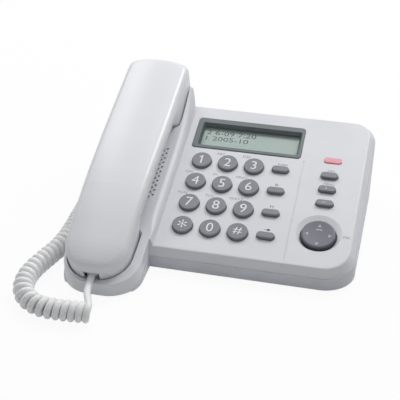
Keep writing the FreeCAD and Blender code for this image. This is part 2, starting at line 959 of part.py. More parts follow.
def lower_cabinet(inner):
    """Wedge tray with floor, battery bay, stands and openings."""
    outside = deck_body(0.0).fuse(cradle_solid(0.0, 0.0).common(below_seam()))
    box = block(bay_left - bay_wall, bay_right + bay_wall, bay_front - bay_wall, bay_back + bay_wall,
                foot_height, bay_roof + bay_wall)
    tray = outside.cut(inner).fuse([box] + lower_supports(inner))
    cuts = [block(bay_left, bay_right, bay_front, bay_back, 0.0, bay_roof)]
    cuts += case_screw_shafts(2 * thread_gap, 0.0)
    head_top = foot_height + screw_head_height
    cuts += [post(x, y, screw_head_radius + 2 * thread_gap, 0.0, head_top) for x, y in case_screw_spots]
    cuts += [base_jack_space(plug_gap), line_jack_space(plug_gap)]
    return tray.cut(cuts)


def base_jack():
    """Handset-cord jack behind the left wall."""
    return base_jack_block(base_jack_z - base_jack_rise, base_jack_z + base_jack_rise).cut(
        base_jack_space(plug_gap))


def line_jack():
    """Telephone line jack behind the back wall."""
    return line_jack_block(line_jack_z - line_jack_rise, line_jack_z + line_jack_rise).cut(
        line_jack_space(plug_gap))


# Keys and what lies under the deck
key_flange_top = -wall - key_seat
key_flange_low = key_flange_top - key_flange_thickness
nav_reach = nav_diameter / 2 + nav_gap + key_flange
nav_flange_top = -wall - nav_rest_gap - nav_reach * math.sin(math.radians(nav_tilt) * math.sqrt(2))
nav_flange_low = nav_flange_top - key_flange_thickness


def key_solid(cap, flange):
    """Key cap with a rounded top edge joined to its flange."""
    return cap.makeFillet(key_edge_radius, top_edges(cap, key_height)).fuse(flange).removeSplitter()


def dial_key(u, v):
    """Round dial key."""
    radius = dial_key_diameter / 2
    cap = post(u, v, radius, key_flange_low, key_height)
    return key_solid(cap, post(u, v, radius + key_flange, key_flange_low, key_flange_top))


def oval_key(u, v):
    """Oval function key."""
    cap = stadium(u, v, oval_length, oval_width, key_flange_low, key_height)
    flange = stadium(u, v, oval_length + 2 * key_flange, oval_width + 2 * key_flange, key_flange_low,
                     key_flange_top)
    return key_solid(cap, flange)


def nav_key():
    """Round four-way key with a dished top."""
    body = post(nav_u, nav_v, nav_diameter / 2, nav_flange_low, nav_height)
    body = body.makeFillet(nav_edge_radius, top_edges(body, nav_height))
    flange = post(nav_u, nav_v, nav_reach, nav_flange_low, nav_flange_top)
    dish_h = nav_height + nav_dish_radius - nav_dish_depth
    dish = Part.makeSphere(nav_dish_radius, Vector(nav_u, nav_v, dish_h))
    return body.fuse(flange).cut(dish).removeSplitter()


def nav_pivot():
    """Small tilting disc under the navigator key."""
    return post(nav_u, nav_v, pivot_radius, nav_rest_gap - board_top, nav_flange_low - nav_rest_gap)


def main_board():
    """L-shaped circuit board under the keys."""
    corners = [
        (board_left, board_front, 0.0),
        (board_right, board_front, 0.0),
        (board_right, board_lamp_back, 0.0),
        (board_lamp_left, board_lamp_back, 0.0),
        (board_lamp_left, board_back, 0.0),
        (board_left, board_back, 0.0),
    ]
    return prism(corners, -board_low, -board_top).cut(board_screw_shafts(thread_gap))


def keypad_mat():
    """Rubber mat with a dome under each key."""
    half_v = 1.5 * key_pitch_y + mat_reach
    outline = box_corners(board_left + mat_inset, board_right - mat_inset, -half_v, half_v, dome_radius)
    mat = prism(outline, -board_top, -mat_top)
    dome_top = dome_height - mat_top
    domes = [post(u, v, dome_radius, -board_top, dome_top) for name, u, v in dial_key_spots()]
    ovals = function_key_spots() + side_key_spots()
    domes += [post(u, v, oval_dome_radius, -board_top, dome_top) for u, v in ovals]
    cuts = [post(u, v, board_post_radius + mat_hole_gap, -board_top, 0.0) for u, v in board_screw_spots]
    cuts.append(post(nav_u, nav_v, nav_reach + mat_hole_gap, -board_top, 0.0))
    return mat.fuse(domes).cut(cuts)


def screw_set(shafts, spots, head_low):
    """Screws from their shafts, each with a round head from a low level."""
    heads = [post(x, y, screw_head_radius, head_low, head_low + screw_head_height) for x, y in spots]
    return Part.makeCompound([shaft.fuse(head) for shaft, head in zip(shafts, heads)])


def board_screws():
    """Screws that hold the board to its posts."""
    return screw_set(board_screw_shafts(0.0), board_screw_spots, -board_low - screw_head_height)


def base_screws():
    """Screws through the floor into the case posts."""
    return screw_set(case_screw_shafts(0.0, foot_height), case_screw_spots, foot_height)


def rubber_feet():
    """Four round feet."""
    return Part.makeCompound([post(x, y, foot_radius, 0.0, foot_height) for x, y in foot_spots])


def display_frame():
    """Dark frame round the display, sloping in to the window."""
    plate = prism(frame_corners(0.0), -frame_depth, frame_rise)
    plate = plate.makeFillet(frame_edge_radius, top_edges(plate, frame_rise))
    sleeve = prism(window_corners(sleeve_wall), -wall, -frame_depth)
    top = rounded_wire(window_corners(window_slope), frame_rise)
    bottom = rounded_wire(window_corners(0.0), -wall)
    return plate.fuse(sleeve).cut(Part.makeLoft([bottom, top], True, True))


def display_lens():
    """Clear window under the frame."""
    return prism(window_corners(lcd_margin - frame_gap), -lcd_top, -lens_top)


def lcd_panel():
    """Glass panel of the display."""
    return prism(window_corners(lcd_margin - frame_gap), -holder_floor, -lcd_top)


def lcd_holder():
    """Tray under the deck that holds the window and the panel."""
    tray = prism(window_corners(lcd_margin + holder_wall), -holder_floor - holder_wall, -wall)
    return tray.cut(prism(window_corners(lcd_margin), -holder_floor, 0.0))


def lamp_lens():
    """Red lens of the ringer lamp with its flange."""
    lens = lamp_column(0.0, key_flange_low, lamp_rise)
    lens = lens.makeFillet(lamp_edge_radius, top_edges(lens, lamp_rise))
    return lens.fuse(lamp_column(lamp_flange, key_flange_low, key_flange_top)).removeSplitter()


def lamp_led():
    """Light-emitting diode on the board under the lens."""
    dome_h = key_flange_low - led_gap - led_radius
    stem = post(lamp_u, lamp_v, led_radius, -board_top, dome_h)
    dome = Part.makeSphere(led_radius, Vector(lamp_u, lamp_v, dome_h), Vector(0, 0, 1), 0, 90, 360)
    return stem.fuse(dome).removeSplitter()


def speaker_cone_form(radius_loss):
    """Cone space of the loudspeaker, open to above, in the deck frame."""
    start = Vector(handset_u, speaker_v, roof_under - cone_depth)
    return Part.makeCone(cone_tip_radius - radius_loss, cone_radius - radius_loss, cone_depth, start)


def loudspeaker_frame():
    """Basket and magnet of the base loudspeaker."""
    rim_low = roof_under - speaker_rim
    basket_low = rim_low - basket_depth
    rim = post(handset_u, speaker_v, speaker_diameter / 2, rim_low, roof_under)
    basket = Part.makeCone(basket_radius, speaker_diameter / 2, basket_depth,
                           Vector(handset_u, speaker_v, basket_low))
    magnet = post(handset_u, speaker_v, basket_radius, basket_low - magnet_depth, basket_low)
    return rim.fuse([basket, magnet]).cut(speaker_cone_form(0.0)).removeSplitter()


def loudspeaker_cone():
    """Paper cone of the base loudspeaker."""
    return speaker_cone_form(0.0).cut(speaker_cone_form(cone_thickness))


def hook_plunger():
    """Plunger that the handset holds down."""
    low = hook_body_top + hook_rest_gap
    stem = hook_column(0.0, low, grip_bottom - hook_rest_gap)
    return stem.fuse(hook_column(hook_flange, low, low + hook_flange_thickness)).removeSplitter()


def hook_switch_body():
    """Switch under the plunger."""
    return hook_body_block(hook_body_top - hook_body_height, hook_body_top)


def batteries():
    """Cells lying side by side."""
    start_y = bay_y - cell_length / 2
    cells = []
    for x in cell_spots:
        cells.append(Part.makeCylinder(cell_radius, cell_length, Vector(x, start_y, cell_z), Vector(0, 1, 0)))
    return Part.makeCompound(cells)


def contact_plate(wall_y, side):
    """Spring plate on one end wall of the bay, with a button at each cell."""
    face_y = wall_y + side * contact_thickness
    low = floor_top + cell_lift + contact_margin
    plate = block(bay_left + contact_margin, bay_right - contact_margin, min(wall_y, face_y),
                  max(wall_y, face_y), low, low + contact_height)
    reach = bay_end_gap - contact_thickness
    for x in cell_spots:
        button = Part.makeCylinder(contact_button_radius, reach, Vector(x, face_y, cell_z), Vector(0, side, 0))
        plate = plate.fuse(button)
    return plate


def battery_contacts():
    """Spring plates at both ends of the cells."""
    return Part.makeCompound([contact_plate(bay_front, 1), contact_plate(bay_back, -1)])


def battery_door():
    """Door in the floor under the cells, round along its hinge edge."""
    left = bay_left + door_gap
    right = bay_right - door_gap
    hinge_y = bay_front + door_gap + wall / 2
    plate = block(left, right, hinge_y, bay_back - door_gap, foot_height, floor_top)
    start = Vector(left, hinge_y, foot_height + wall / 2)
    barrel = Part.makeCylinder(wall / 2, right - left, start, Vector(1, 0, 0))
    return plate.fuse(barrel).removeSplitter()


# Handset pieces
jack_u = handset_u + handset_jack_shift
plug_face_v = handset_front + handset_plug_recess
handset_jack_v = plug_face_v + handset_slot_depth
receiver_v = handset_back - receiver_from_back
mic_v = handset_front + mic_from_front
mic_low = bottom_height(mic_v - mic_radius - mic_cup_wall) + handset_wall
ballast_v = (grip_front + ear_front) / 2
handset_screw_spots = [
    (handset_u, grip_front + handset_screw_inset),
    (handset_u, ear_front - handset_screw_inset / 2),
]
handset_floor = grip_bottom + handset_wall


def above_parting(shift):
    """Space over the handset's parting line, in the deck frame."""
    side = handset_u - ear_half_width - tall
    low_v = handset_front - mouth_length
    high_v = handset_back + ear_length
    middle_v = (low_v + handset_arch_start) / 2
    low_end = (low_v, edge_height(low_v) + shift)
    bend = (handset_arch_start, handset_edge + shift)
    high_end = (high_v, handset_edge + shift)
    edges = [
        arc(low_end, (middle_v, edge_height(middle_v) + shift), bend, side),
        line(bend, high_end, side),
        line(high_end, (high_v, tall), side),
        line((high_v, tall), (low_v, tall), side),
        line((low_v, tall), low_end, side),
    ]
    return side_profile(edges, side, handset_u + tall)


def handset_screw_shafts(gap, low):
    """Shafts of the handset screws in the deck frame."""
    high = handset_floor + handset_screw_length
    return [post(u, v, screw_radius + gap, low, high) for u, v in handset_screw_spots]


def handset_back_shell(outer, inner):
    """Smooth shell that faces up, with the screw posts."""
    bosses = []
    for u, v in handset_screw_spots:
        bosses.append(post(u, v, handset_boss_radius, handset_floor, tall).common(outer))
    shell = outer.cut(inner).common(above_parting(0.0)).fuse(bosses)
    return shell.cut(handset_screw_shafts(thread_gap, 0.0))


def jack_box(half, rise, v_low, v_high):
    """Box about the centre line of the handset's jack, in the deck frame."""
    return block(jack_u - half, jack_u + half, v_low, v_high, handset_jack_h - rise, handset_jack_h + rise)


def handset_slot():
    """Opening for the plug in the mouth end of the handset."""
    front = handset_front - plug_length
    return jack_box(handset_slot_width / 2, handset_slot_height / 2, front, handset_jack_v)


def handset_jack():
    """Jack housing behind the slot."""
    half = plug_width / 2 + plug_gap
    rise = plug_height / 2 + plug_gap
    plug_back = plug_face_v + plug_length + plug_gap
    outside = jack_box(half + jack_wall, rise + jack_wall, handset_jack_v, plug_back + jack_wall)
    return outside.cut(jack_box(half, rise, handset_jack_v, plug_back))


def handset_plug():
    """Plug of the cord in the handset."""
    return jack_box(plug_width / 2, plug_height / 2, plug_face_v, plug_face_v + plug_length)


def base_plug():
    """Plug of the cord in the base."""
    start = base_plug_start()
    return block(start.x, start.x + plug_length, start.y - plug_width / 2, start.y + plug_width / 2,
                 start.z - plug_height / 2, start.z + plug_height / 2)


def ear_holes():
    """Sound holes in the ear cup."""
    spots = [(handset_u, receiver_v)]
    for i in range(ear_hole_count):
        angle = 2 * math.pi * i / ear_hole_count
        u = handset_u + ear_hole_ring * math.cos(angle)
        spots.append((u, receiver_v + ear_hole_ring * math.sin(angle)))
    return [post(u, v, ear_hole_radius, ear_bottom - wall, ear_bottom + 2 * wall) for u, v in spots]


def handset_front_shell(outer, inner):
    """Shell with the ear cup, the grip's underside and the mouth end."""
    cup = post(handset_u, mic_v, mic_radius + mic_cup_wall, -tall, mic_low + mic_cup_height).common(outer)
    shell = outer.cut(inner).cut(above_parting(-parting_gap)).fuse(cup)
    cuts = ear_holes() + handset_screw_shafts(2 * thread_gap, 0.0)
    head_top = grip_bottom + screw_head_height
    cuts += [post(u, v, screw_head_radius + 2 * thread_gap, 0.0, head_top) for u, v in handset_screw_spots]
    cuts.append(post(handset_u, mic_v, mic_radius, mic_low, tall))
    cuts.append(post(handset_u, mic_v, ear_hole_radius, -tall, mic_low))
    cuts.append(handset_slot())
    return shell.cut(cuts)


def handset_screws():
    """Two screws in the handset's underside."""
    return screw_set(handset_screw_shafts(0.0, grip_bottom), handset_screw_spots, grip_bottom)


def receiver_capsule():
    """Receiver over the ear cup's floor."""
    low = ear_bottom + handset_wall
    return post(handset_u, receiver_v, receiver_radius, low, low + receiver_height)


def handset_microphone():
    """Microphone seated in its cup in the mouth end."""
    return post(handset_u, mic_v, mic_radius, mic_low, mic_low + mic_height)


def handset_ballast():
    """Steel bar that gives the handset its weight."""
    return block(handset_u - ballast_width / 2, handset_u + ballast_width / 2, ballast_v - ballast_length / 2,
                 ballast_v + ballast_length / 2, handset_floor, handset_floor + ballast_height)


# Curly cord
def unit(vector):
    """Copy of a vector with length one."""
    return FreeCAD.Vector(vector).normalize()


def straight(start, end):
    """Straight edge between two points."""
    return Part.LineSegment(start, end).toShape()


def corner_arc(before, corner, after):
    """Start, middle and end of the tangent arc at a corner of a route, and its radius."""
    back = before - corner
    ahead = after - corner
    reach = route_arc_share * min(back.Length, ahead.Length)
    first = corner + unit(back) * reach
    last = corner + unit(ahead) * reach
    half_turn = (math.pi - back.getAngle(ahead)) / 2
    radius = reach / math.tan(half_turn)
    inward = unit((first + last) * 0.5 - corner)
    middle = corner + inward * (radius / math.cos(half_turn) - radius)
    return first, middle, last, radius


def route_edges(points, name):
    """Straight runs joined by tangent arcs along a route."""
    edges = []
    radii = []
    here = points[0]
    for i in range(1, len(points) - 1):
        first, middle, last, radius = corner_arc(points[i - 1], points[i], points[i + 1])
        edges.append(straight(here, first))
        edges.append(Part.Arc(first, middle, last).toShape())
        radii.append(round(radius, 1))
        here = last
    edges.append(straight(here, points[-1]))
    print(name, "arc radii", radii)
    return edges


def tube(edges, name):
    """Round tube along joined edges, with its volume compared with section times length."""
    path = Part.Wire(edges)
    start = edges[0].valueAt(edges[0].FirstParameter)
    direction = edges[0].tangentAt(edges[0].FirstParameter)
    ring = Part.Wire([Part.makeCircle(wire_diameter / 2, start, direction)])
    solid = path.makePipeShell([ring], True, False)
    expected = math.pi * wire_diameter ** 2 / 4 * path.Length
    print(name, "length", round(path.Length, 1), "volume ratio", round(solid.Volume / expected, 4))
    return solid


class Coil:
    """Helix of the curly cord along its axis route."""

    def __init__(self, route):
        self.edges = route_edges(route, "coil axis")
        self.length = sum(edge.Length for edge in self.edges)
        self.marks = self.turn_marks()

    def edge_at(self, distance):
        """Edge at a distance along the axis and the parameter on it."""
        left = min(max(distance, 0.0), self.length)
        for edge in self.edges[:-1]:
            if left <= edge.Length:
                return edge, edge.getParameterByLength(left)
            left = left - edge.Length
        last = self.edges[-1]
        return last, last.getParameterByLength(min(left, last.Length))

    def axis_at(self, distance):
        """Point and direction at a distance along the axis."""
        edge, parameter = self.edge_at(distance)
        return edge.valueAt(parameter), edge.tangentAt(parameter)

    def room_at(self, distance):
        """Room for turns at a distance along the axis, which is less inside a bend."""
        edge, parameter = self.edge_at(distance)
        return 1 - coil_radius * edge.curvatureAt(parameter)

    def turn_marks(self):
        """Turns made at even steps along the axis, spread wider in the bends."""
        count = int(self.length / coil_mark_step)
        room = [self.room_at(self.length * i / count) for i in range(count + 1)]
        marks = [0.0]
        for i in range(count):
            near = room[max(0, i - coil_blend):i + coil_blend + 1]
            marks.append(marks[-1] + sum(near) / len(near))
        return [coil_turns * mark / marks[-1] for mark in marks]

    def distance_at(self, turn):
        """Distance along the axis after a number of turns."""
        count = len(self.marks) - 1
        i = min(max(bisect.bisect_right(self.marks, turn) - 1, 0), count - 1)
        share = (turn - self.marks[i]) / (self.marks[i + 1] - self.marks[i])
        return self.length * (i + share) / count

    def point(self, turn):
        """Point of the wire's centre line after a number of turns, starting on top."""
        centre, ahead = self.axis_at(self.distance_at(turn))
        side = unit(Vector(0, 0, 1).cross(ahead))
        up = ahead.cross(side)
        angle = 2 * math.pi * turn
        return centre + up * (coil_radius * math.cos(angle)) + side * (coil_radius * math.sin(angle))

    def direction(self, turn):
        """Direction of the wire after a number of turns."""
        step = 0.001
        low = max(0.0, turn - step)
        high = min(coil_turns, turn + step)
        return unit(self.point(high) - self.point(low))

    def start(self):
        """First point of the straight stub before the first turn."""
        return self.point(0.0) - self.direction(0.0) * stub_length

    def end(self):
        """Last point of the straight stub after the last turn."""
        return self.point(coil_turns) + self.direction(coil_turns) * stub_length

    def gap(self):
        """Least gap of the coil to itself, measured on points."""
        per_turn = coil_checks
        count = int(coil_turns * per_turn)
        points = [self.point(i / per_turn) for i in range(count + 1)]
        least = self.length
        for i in range(count):
            for other in points[i + per_turn // 2:i + 2 * per_turn]:
                least = min(least, (points[i] - other).Length)
        return least - wire_diameter

    def wire_edges(self):
        """Straight stubs at both ends and two arcs for each quarter turn."""
        quarters = int(round(coil_turns * 4))
        edges = [straight(self.start(), self.point(0.0))]
        for i in range(quarters):
            low = i / 4
            high = (i + 1) / 4
            edges += biarc(self.point(low), self.direction(low), self.point(high), self.direction(high))
        edges.append(straight(self.point(coil_turns), self.end()))
        return edges


def tangent_middle(start, direction, end):
    """Middle of the arc that leaves start along a direction and ends at a point."""
    half_chord = (end - start) * 0.5
    reach = half_chord.Length / unit(half_chord).dot(direction)
    corner = start + direction * reach
    middle = start + half_chord
    height = (corner - middle).Length
    radius = half_chord.Length * reach / height
    sag = radius - math.sqrt(radius ** 2 - half_chord.Length ** 2)
    return middle + unit(corner - middle) * sag


def biarc(start, first, end, last):
    """Two arcs that join two points with given directions."""
    across = end - start
    bend = 2 * (1 - first.dot(last))
    along = across.dot(first + last)
    reach = (math.sqrt(along ** 2 + bend * across.dot(across)) - along) / bend
    joint = (start + first * reach + end - last * reach) * 0.5
    return [
        Part.Arc(start, tangent_middle(start, first, joint), joint).toShape(),
        Part.Arc(joint, tangent_middle(end, last * -1, joint), end).toShape(),
    ]


def handset_lead(coil):
    """Straight stretch of cord from the handset's plug to the coil."""
    plug = deck_point(jack_u, plug_face_v, handset_jack_h)
    leave = deck_point(jack_u, plug_face_v - lead_end_run, handset_jack_h)
    arrive = coil.start() - coil.direction(0.0) * lead_end_run
    points = (plug, leave, arrive, coil.start())
    return tube(route_edges(points, "handset lead"), "handset lead")


def base_lead(coil):
    """Straight stretch of cord from the coil to the plug in the base."""
    plug = base_plug_start()
    leave = coil.end() + coil.direction(coil_turns) * stub_length
    arrive = plug - Vector(stub_length, 0, 0)
    points = (coil.end(), leave, arrive, plug)
    return tube(route_edges(points, "base lead"), "base lead")


# Nodes
def save(name, shape):
    """Write one node."""
    shape.exportStep("parts/" + name + ".step")
    print(name, "valid", shape.isValid(), "solids", len(shape.Solids))


def save_base():
    """Write the fixed pieces of the base."""
    inner = inner_volume()
    save("upper_cabinet", upper_cabinet(inner))
    save("lower_cabinet", lower_cabinet(inner))
    save("display_frame", on_deck(display_frame()))
    save("display_lens", on_deck(display_lens()))
    save("lcd_panel", on_deck(lcd_panel()))
    save("lcd_holder", on_deck(lcd_holder()))
    save("lamp_lens", on_deck(lamp_lens()))
    save("lamp_led", on_deck(lamp_led()))
    save("main_board", on_deck(main_board()))
    save("keypad_mat", on_deck(keypad_mat()))
    save("board_screws", on_deck(board_screws()))
    save("base_screws", base_screws())
    save("rubber_feet", rubber_feet())
    save("loudspeaker_frame", on_deck(loudspeaker_frame()))
    save("loudspeaker_cone", on_deck(loudspeaker_cone()))
    save("hook_switch_body", on_deck(hook_switch_body()))
    save("base_jack", base_jack())
    save("line_jack", line_jack())
    save("battery_contacts", battery_contacts())
    save("batteries", batteries())


def save_moving():
    """Write the keys, the plunger and the battery door."""
    for name, u, v in dial_key_spots():
        save("key_" + name, on_deck(dial_key(u, v)))
    for i, spot in enumerate(function_key_spots()):
        save("function_key_" + str(i + 1), on_deck(oval_key(*spot)))
    for i, spot in enumerate(side_key_spots()):
        save("side_key_" + str(i + 1), on_deck(oval_key(*spot)))
    save("nav_key", on_deck(nav_key()))
    save("nav_pivot", on_deck(nav_pivot()))
    save("hook_plunger", on_deck(hook_plunger()))
    save("battery_door", battery_door())


def save_handset():
    """Write the handset's pieces."""
    outer = handset_solid(0.0, False)
    inner = handset_solid(-handset_wall, False)
    save("handset_back_shell", on_deck(handset_back_shell(outer, inner)))
    save("handset_front_shell", on_deck(handset_front_shell(outer, inner)))
    save("handset_screws", on_deck(handset_screws()))
    save("receiver_capsule", on_deck(receiver_capsule()))
    save("handset_microphone", on_deck(handset_microphone()))
    save("handset_ballast", on_deck(handset_ballast()))
    save("handset_jack", on_deck(handset_jack()))


def save_cord():
    """Write the plugs, the leads and the coil."""
    coil = Coil(coil_route)
    print("coil gap", round(coil.gap(), 2))
    save("handset_plug", on_deck(handset_plug()))
    save("base_plug", base_plug())
    save("cord_coil", tube(coil.wire_edges(), "coil"))
    save("cord_handset_lead", handset_lead(coil))
    save("cord_base_lead", base_lead(coil))


save_base()
save_moving()
save_handset()
save_cord()
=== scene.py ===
"""Looks of a corded desk telephone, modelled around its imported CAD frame.

Every piece is in metres in the frame of the CAD part: X right, Y back, Z up, the origin on the
table under the middle of the base.  Places on the sloping key deck are given in millimetres as
u (right), v (up the slope) and h (off the deck).
"""

import logging
import math
from collections.abc import Callable
from dataclasses import dataclass, field
from enum import Enum

import bpy
from mathutils import Matrix, Vector


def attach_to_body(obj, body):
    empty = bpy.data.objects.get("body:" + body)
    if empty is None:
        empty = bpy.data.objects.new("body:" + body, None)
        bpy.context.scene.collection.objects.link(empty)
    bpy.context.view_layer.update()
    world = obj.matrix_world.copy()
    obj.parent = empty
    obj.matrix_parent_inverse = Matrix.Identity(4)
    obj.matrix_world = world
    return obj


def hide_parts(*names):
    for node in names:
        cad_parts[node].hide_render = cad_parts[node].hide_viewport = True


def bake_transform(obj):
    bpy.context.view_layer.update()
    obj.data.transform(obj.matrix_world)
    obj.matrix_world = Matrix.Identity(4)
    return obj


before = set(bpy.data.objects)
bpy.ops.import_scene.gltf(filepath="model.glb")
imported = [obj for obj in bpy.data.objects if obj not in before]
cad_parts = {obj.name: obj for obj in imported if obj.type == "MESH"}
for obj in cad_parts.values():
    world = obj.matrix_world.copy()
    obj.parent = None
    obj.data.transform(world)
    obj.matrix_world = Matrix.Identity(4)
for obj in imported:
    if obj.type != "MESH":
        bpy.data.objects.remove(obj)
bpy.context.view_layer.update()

LOG = logging.getLogger("telephone")
MM = 0.001
# Places nearer than this, in metres, count as the same.
TOUCH = 1e-4
# A wave texture of scale one repeats at this distance.
WAVE_PERIOD = math.tau / 20
# The key deck's slope and origin in the frame of the part.
DECK_TILT = math.radians(16.4)
DECK_ORIGIN = Vector((5.85, -6.4, 31.1)) * MM
DECK = Matrix.Translation(DECK_ORIGIN) @ Matrix.Rotation(DECK_TILT, 4, "X")
# Height of the key caps over the deck, in millimetres.
KEY_TOP = 2.4

Pair = tuple[float, float]
Point = tuple[float, float, float]
Colour = tuple[float, float, float, float]
Piece = bpy.types.Object
Material = bpy.types.Material
Tree = bpy.types.NodeTree
Node = bpy.types.Node
Socket = bpy.types.NodeSocket


class Body(Enum):
    """The CAD bodies, other than single keys, that the new pieces ride on."""

    BASE = "base"
    HANDSET = "handset"
    NAVIGATOR = "nav_key"


class Slot(Enum):
    """The material slots of the record that the new pieces take their finish from."""

    KEY = "key_plastic"
    NAVIGATOR = "nav_plastic"
    DECK = "deck_plastic"
    LCD = "lcd_glass"
    CORD = "cord_jacket"


class Ink(Enum):
    """The inks of the printed marks and of the display's figures."""

    WHITE = "white"
    PALE = "pale"
    GREY = "grey"
    DARK = "dark"
    SEGMENTS = "segments"


def linear(code: str) -> Colour:
    """Turns an sRGB hex colour to linear light, by the numbers of the sRGB standard.

    Args:
        code: Six hex digits with a leading hash sign.

    Returns:
        The linear red, green, blue and an alpha of one.
    """
    parts = [int(code[i:i + 2], 16) / 255 for i in (1, 3, 5)]
    red, green, blue = (c / 12.92 if c <= 0.04045 else ((c + 0.055) / 1.055) ** 2.4 for c in parts)
    return (red, green, blue, 1.0)


def per_metre(size_mm: float) -> float:
    """Returns how many patches of a size in millimetres fit in a metre."""
    return 1 / (size_mm * MM)


def add_node(tree: Tree, kind: str, settings: dict[str | int, object],
             links: dict[str | int, Socket]) -> Node:
    """Adds a node with its settings and links.

    Args:
        tree: The node tree that gets the node.
        kind: Blender's name for the kind of node.
        settings: Values by socket name or number, or by property name where no socket has it.
        links: Output sockets by the name or number of the input socket that they feed.

    Returns:
        The new node.
    """
    node = tree.nodes.new(kind)
    for key, value in settings.items():
        if isinstance(key, int) or key in node.inputs:
            node.inputs[key].default_value = value
        else:
            setattr(node, key, value)
    for key, source in links.items():
        tree.links.new(source, node.inputs[key])
    return node


def deselect() -> None:
    """Leaves edit mode and selects nothing."""
    if bpy.context.object and bpy.context.object.mode != "OBJECT":
        bpy.ops.object.mode_set(mode="OBJECT")
    bpy.ops.object.select_all(action="DESELECT")


def choose(piece: Piece) -> None:
    """Selects one piece alone and makes it active.

    Args:
        piece: The object to work on.
    """
    deselect()
    piece.select_set(True)
    bpy.context.view_layer.objects.active = piece


def clear_mesh_selection(piece: Piece, kind: str) -> None:
    """Selects nothing in a piece's mesh and leaves the piece in object mode.

    Args:
        piece: The mesh object.
        kind: What is to be picked next, VERT or EDGE.
    """
    choose(piece)
    bpy.ops.object.mode_set(mode="EDIT")
    bpy.ops.mesh.select_mode(type=kind)
    bpy.ops.mesh.select_all(action="DESELECT")
    bpy.ops.object.mode_set(mode="OBJECT")


def pick_points(piece: Piece, test: Callable[[Vector], bool]) -> None:
    """Opens a piece in edit mode with the points selected that pass a test, and no others.

    Args:
        piece: The mesh object.
        test: Takes a point's place, and says whether it is wanted.
    """
    clear_mesh_selection(piece, "VERT")
    for point in piece.data.vertices:
        point.select = test(point.co)
    bpy.ops.object.mode_set(mode="EDIT")


def pick_edges(piece: Piece, test: Callable[[Vector, Vector], bool]) -> None:
    """Opens a piece in edit mode with the edges selected that pass a test, and no others.

    Args:
        piece: The mesh object.
        test: Takes the places of an edge's two ends, and says whether it is wanted.
    """
    clear_mesh_selection(piece, "EDGE")
    for edge in piece.data.edges:
        edge.select = test(*(piece.data.vertices[i].co for i in edge.vertices))
    bpy.ops.object.mode_set(mode="EDIT")


def settle(piece: Piece, place: Matrix) -> None:
    """Moves a piece's mesh to its place and leaves the object at the origin.

    Args:
        piece: The mesh object, modelled round its own origin.
        place: Where that origin goes in the frame of the part.
    """
    choose(piece)
    piece.matrix_world = place
    bpy.ops.object.transform_apply(location=True, rotation=True, scale=True)


def dress(piece: Piece, name: str, material: Material) -> Piece:
    """Names a piece and gives it its one material.

    Args:
        piece: The mesh object.
        name: Its name in the scene.
        material: Its finish.

    Returns:
        The same piece.
    """
    piece.name = name
    piece.data.name = name
    piece.data.materials.clear()
    piece.data.materials.append(material)
    LOG.info("piece %s wears %s", name, material.name)
    return piece


def attach(piece: Piece, body: str) -> None:
    """Lets a piece ride on a body."""
    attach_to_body(piece, body)


def on_deck(u: float, v: float, h: float) -> Matrix:
    """Returns the place on the deck at u, v and h millimetres."""
    return DECK @ Matrix.Translation(Vector((u, v, h)) * MM)


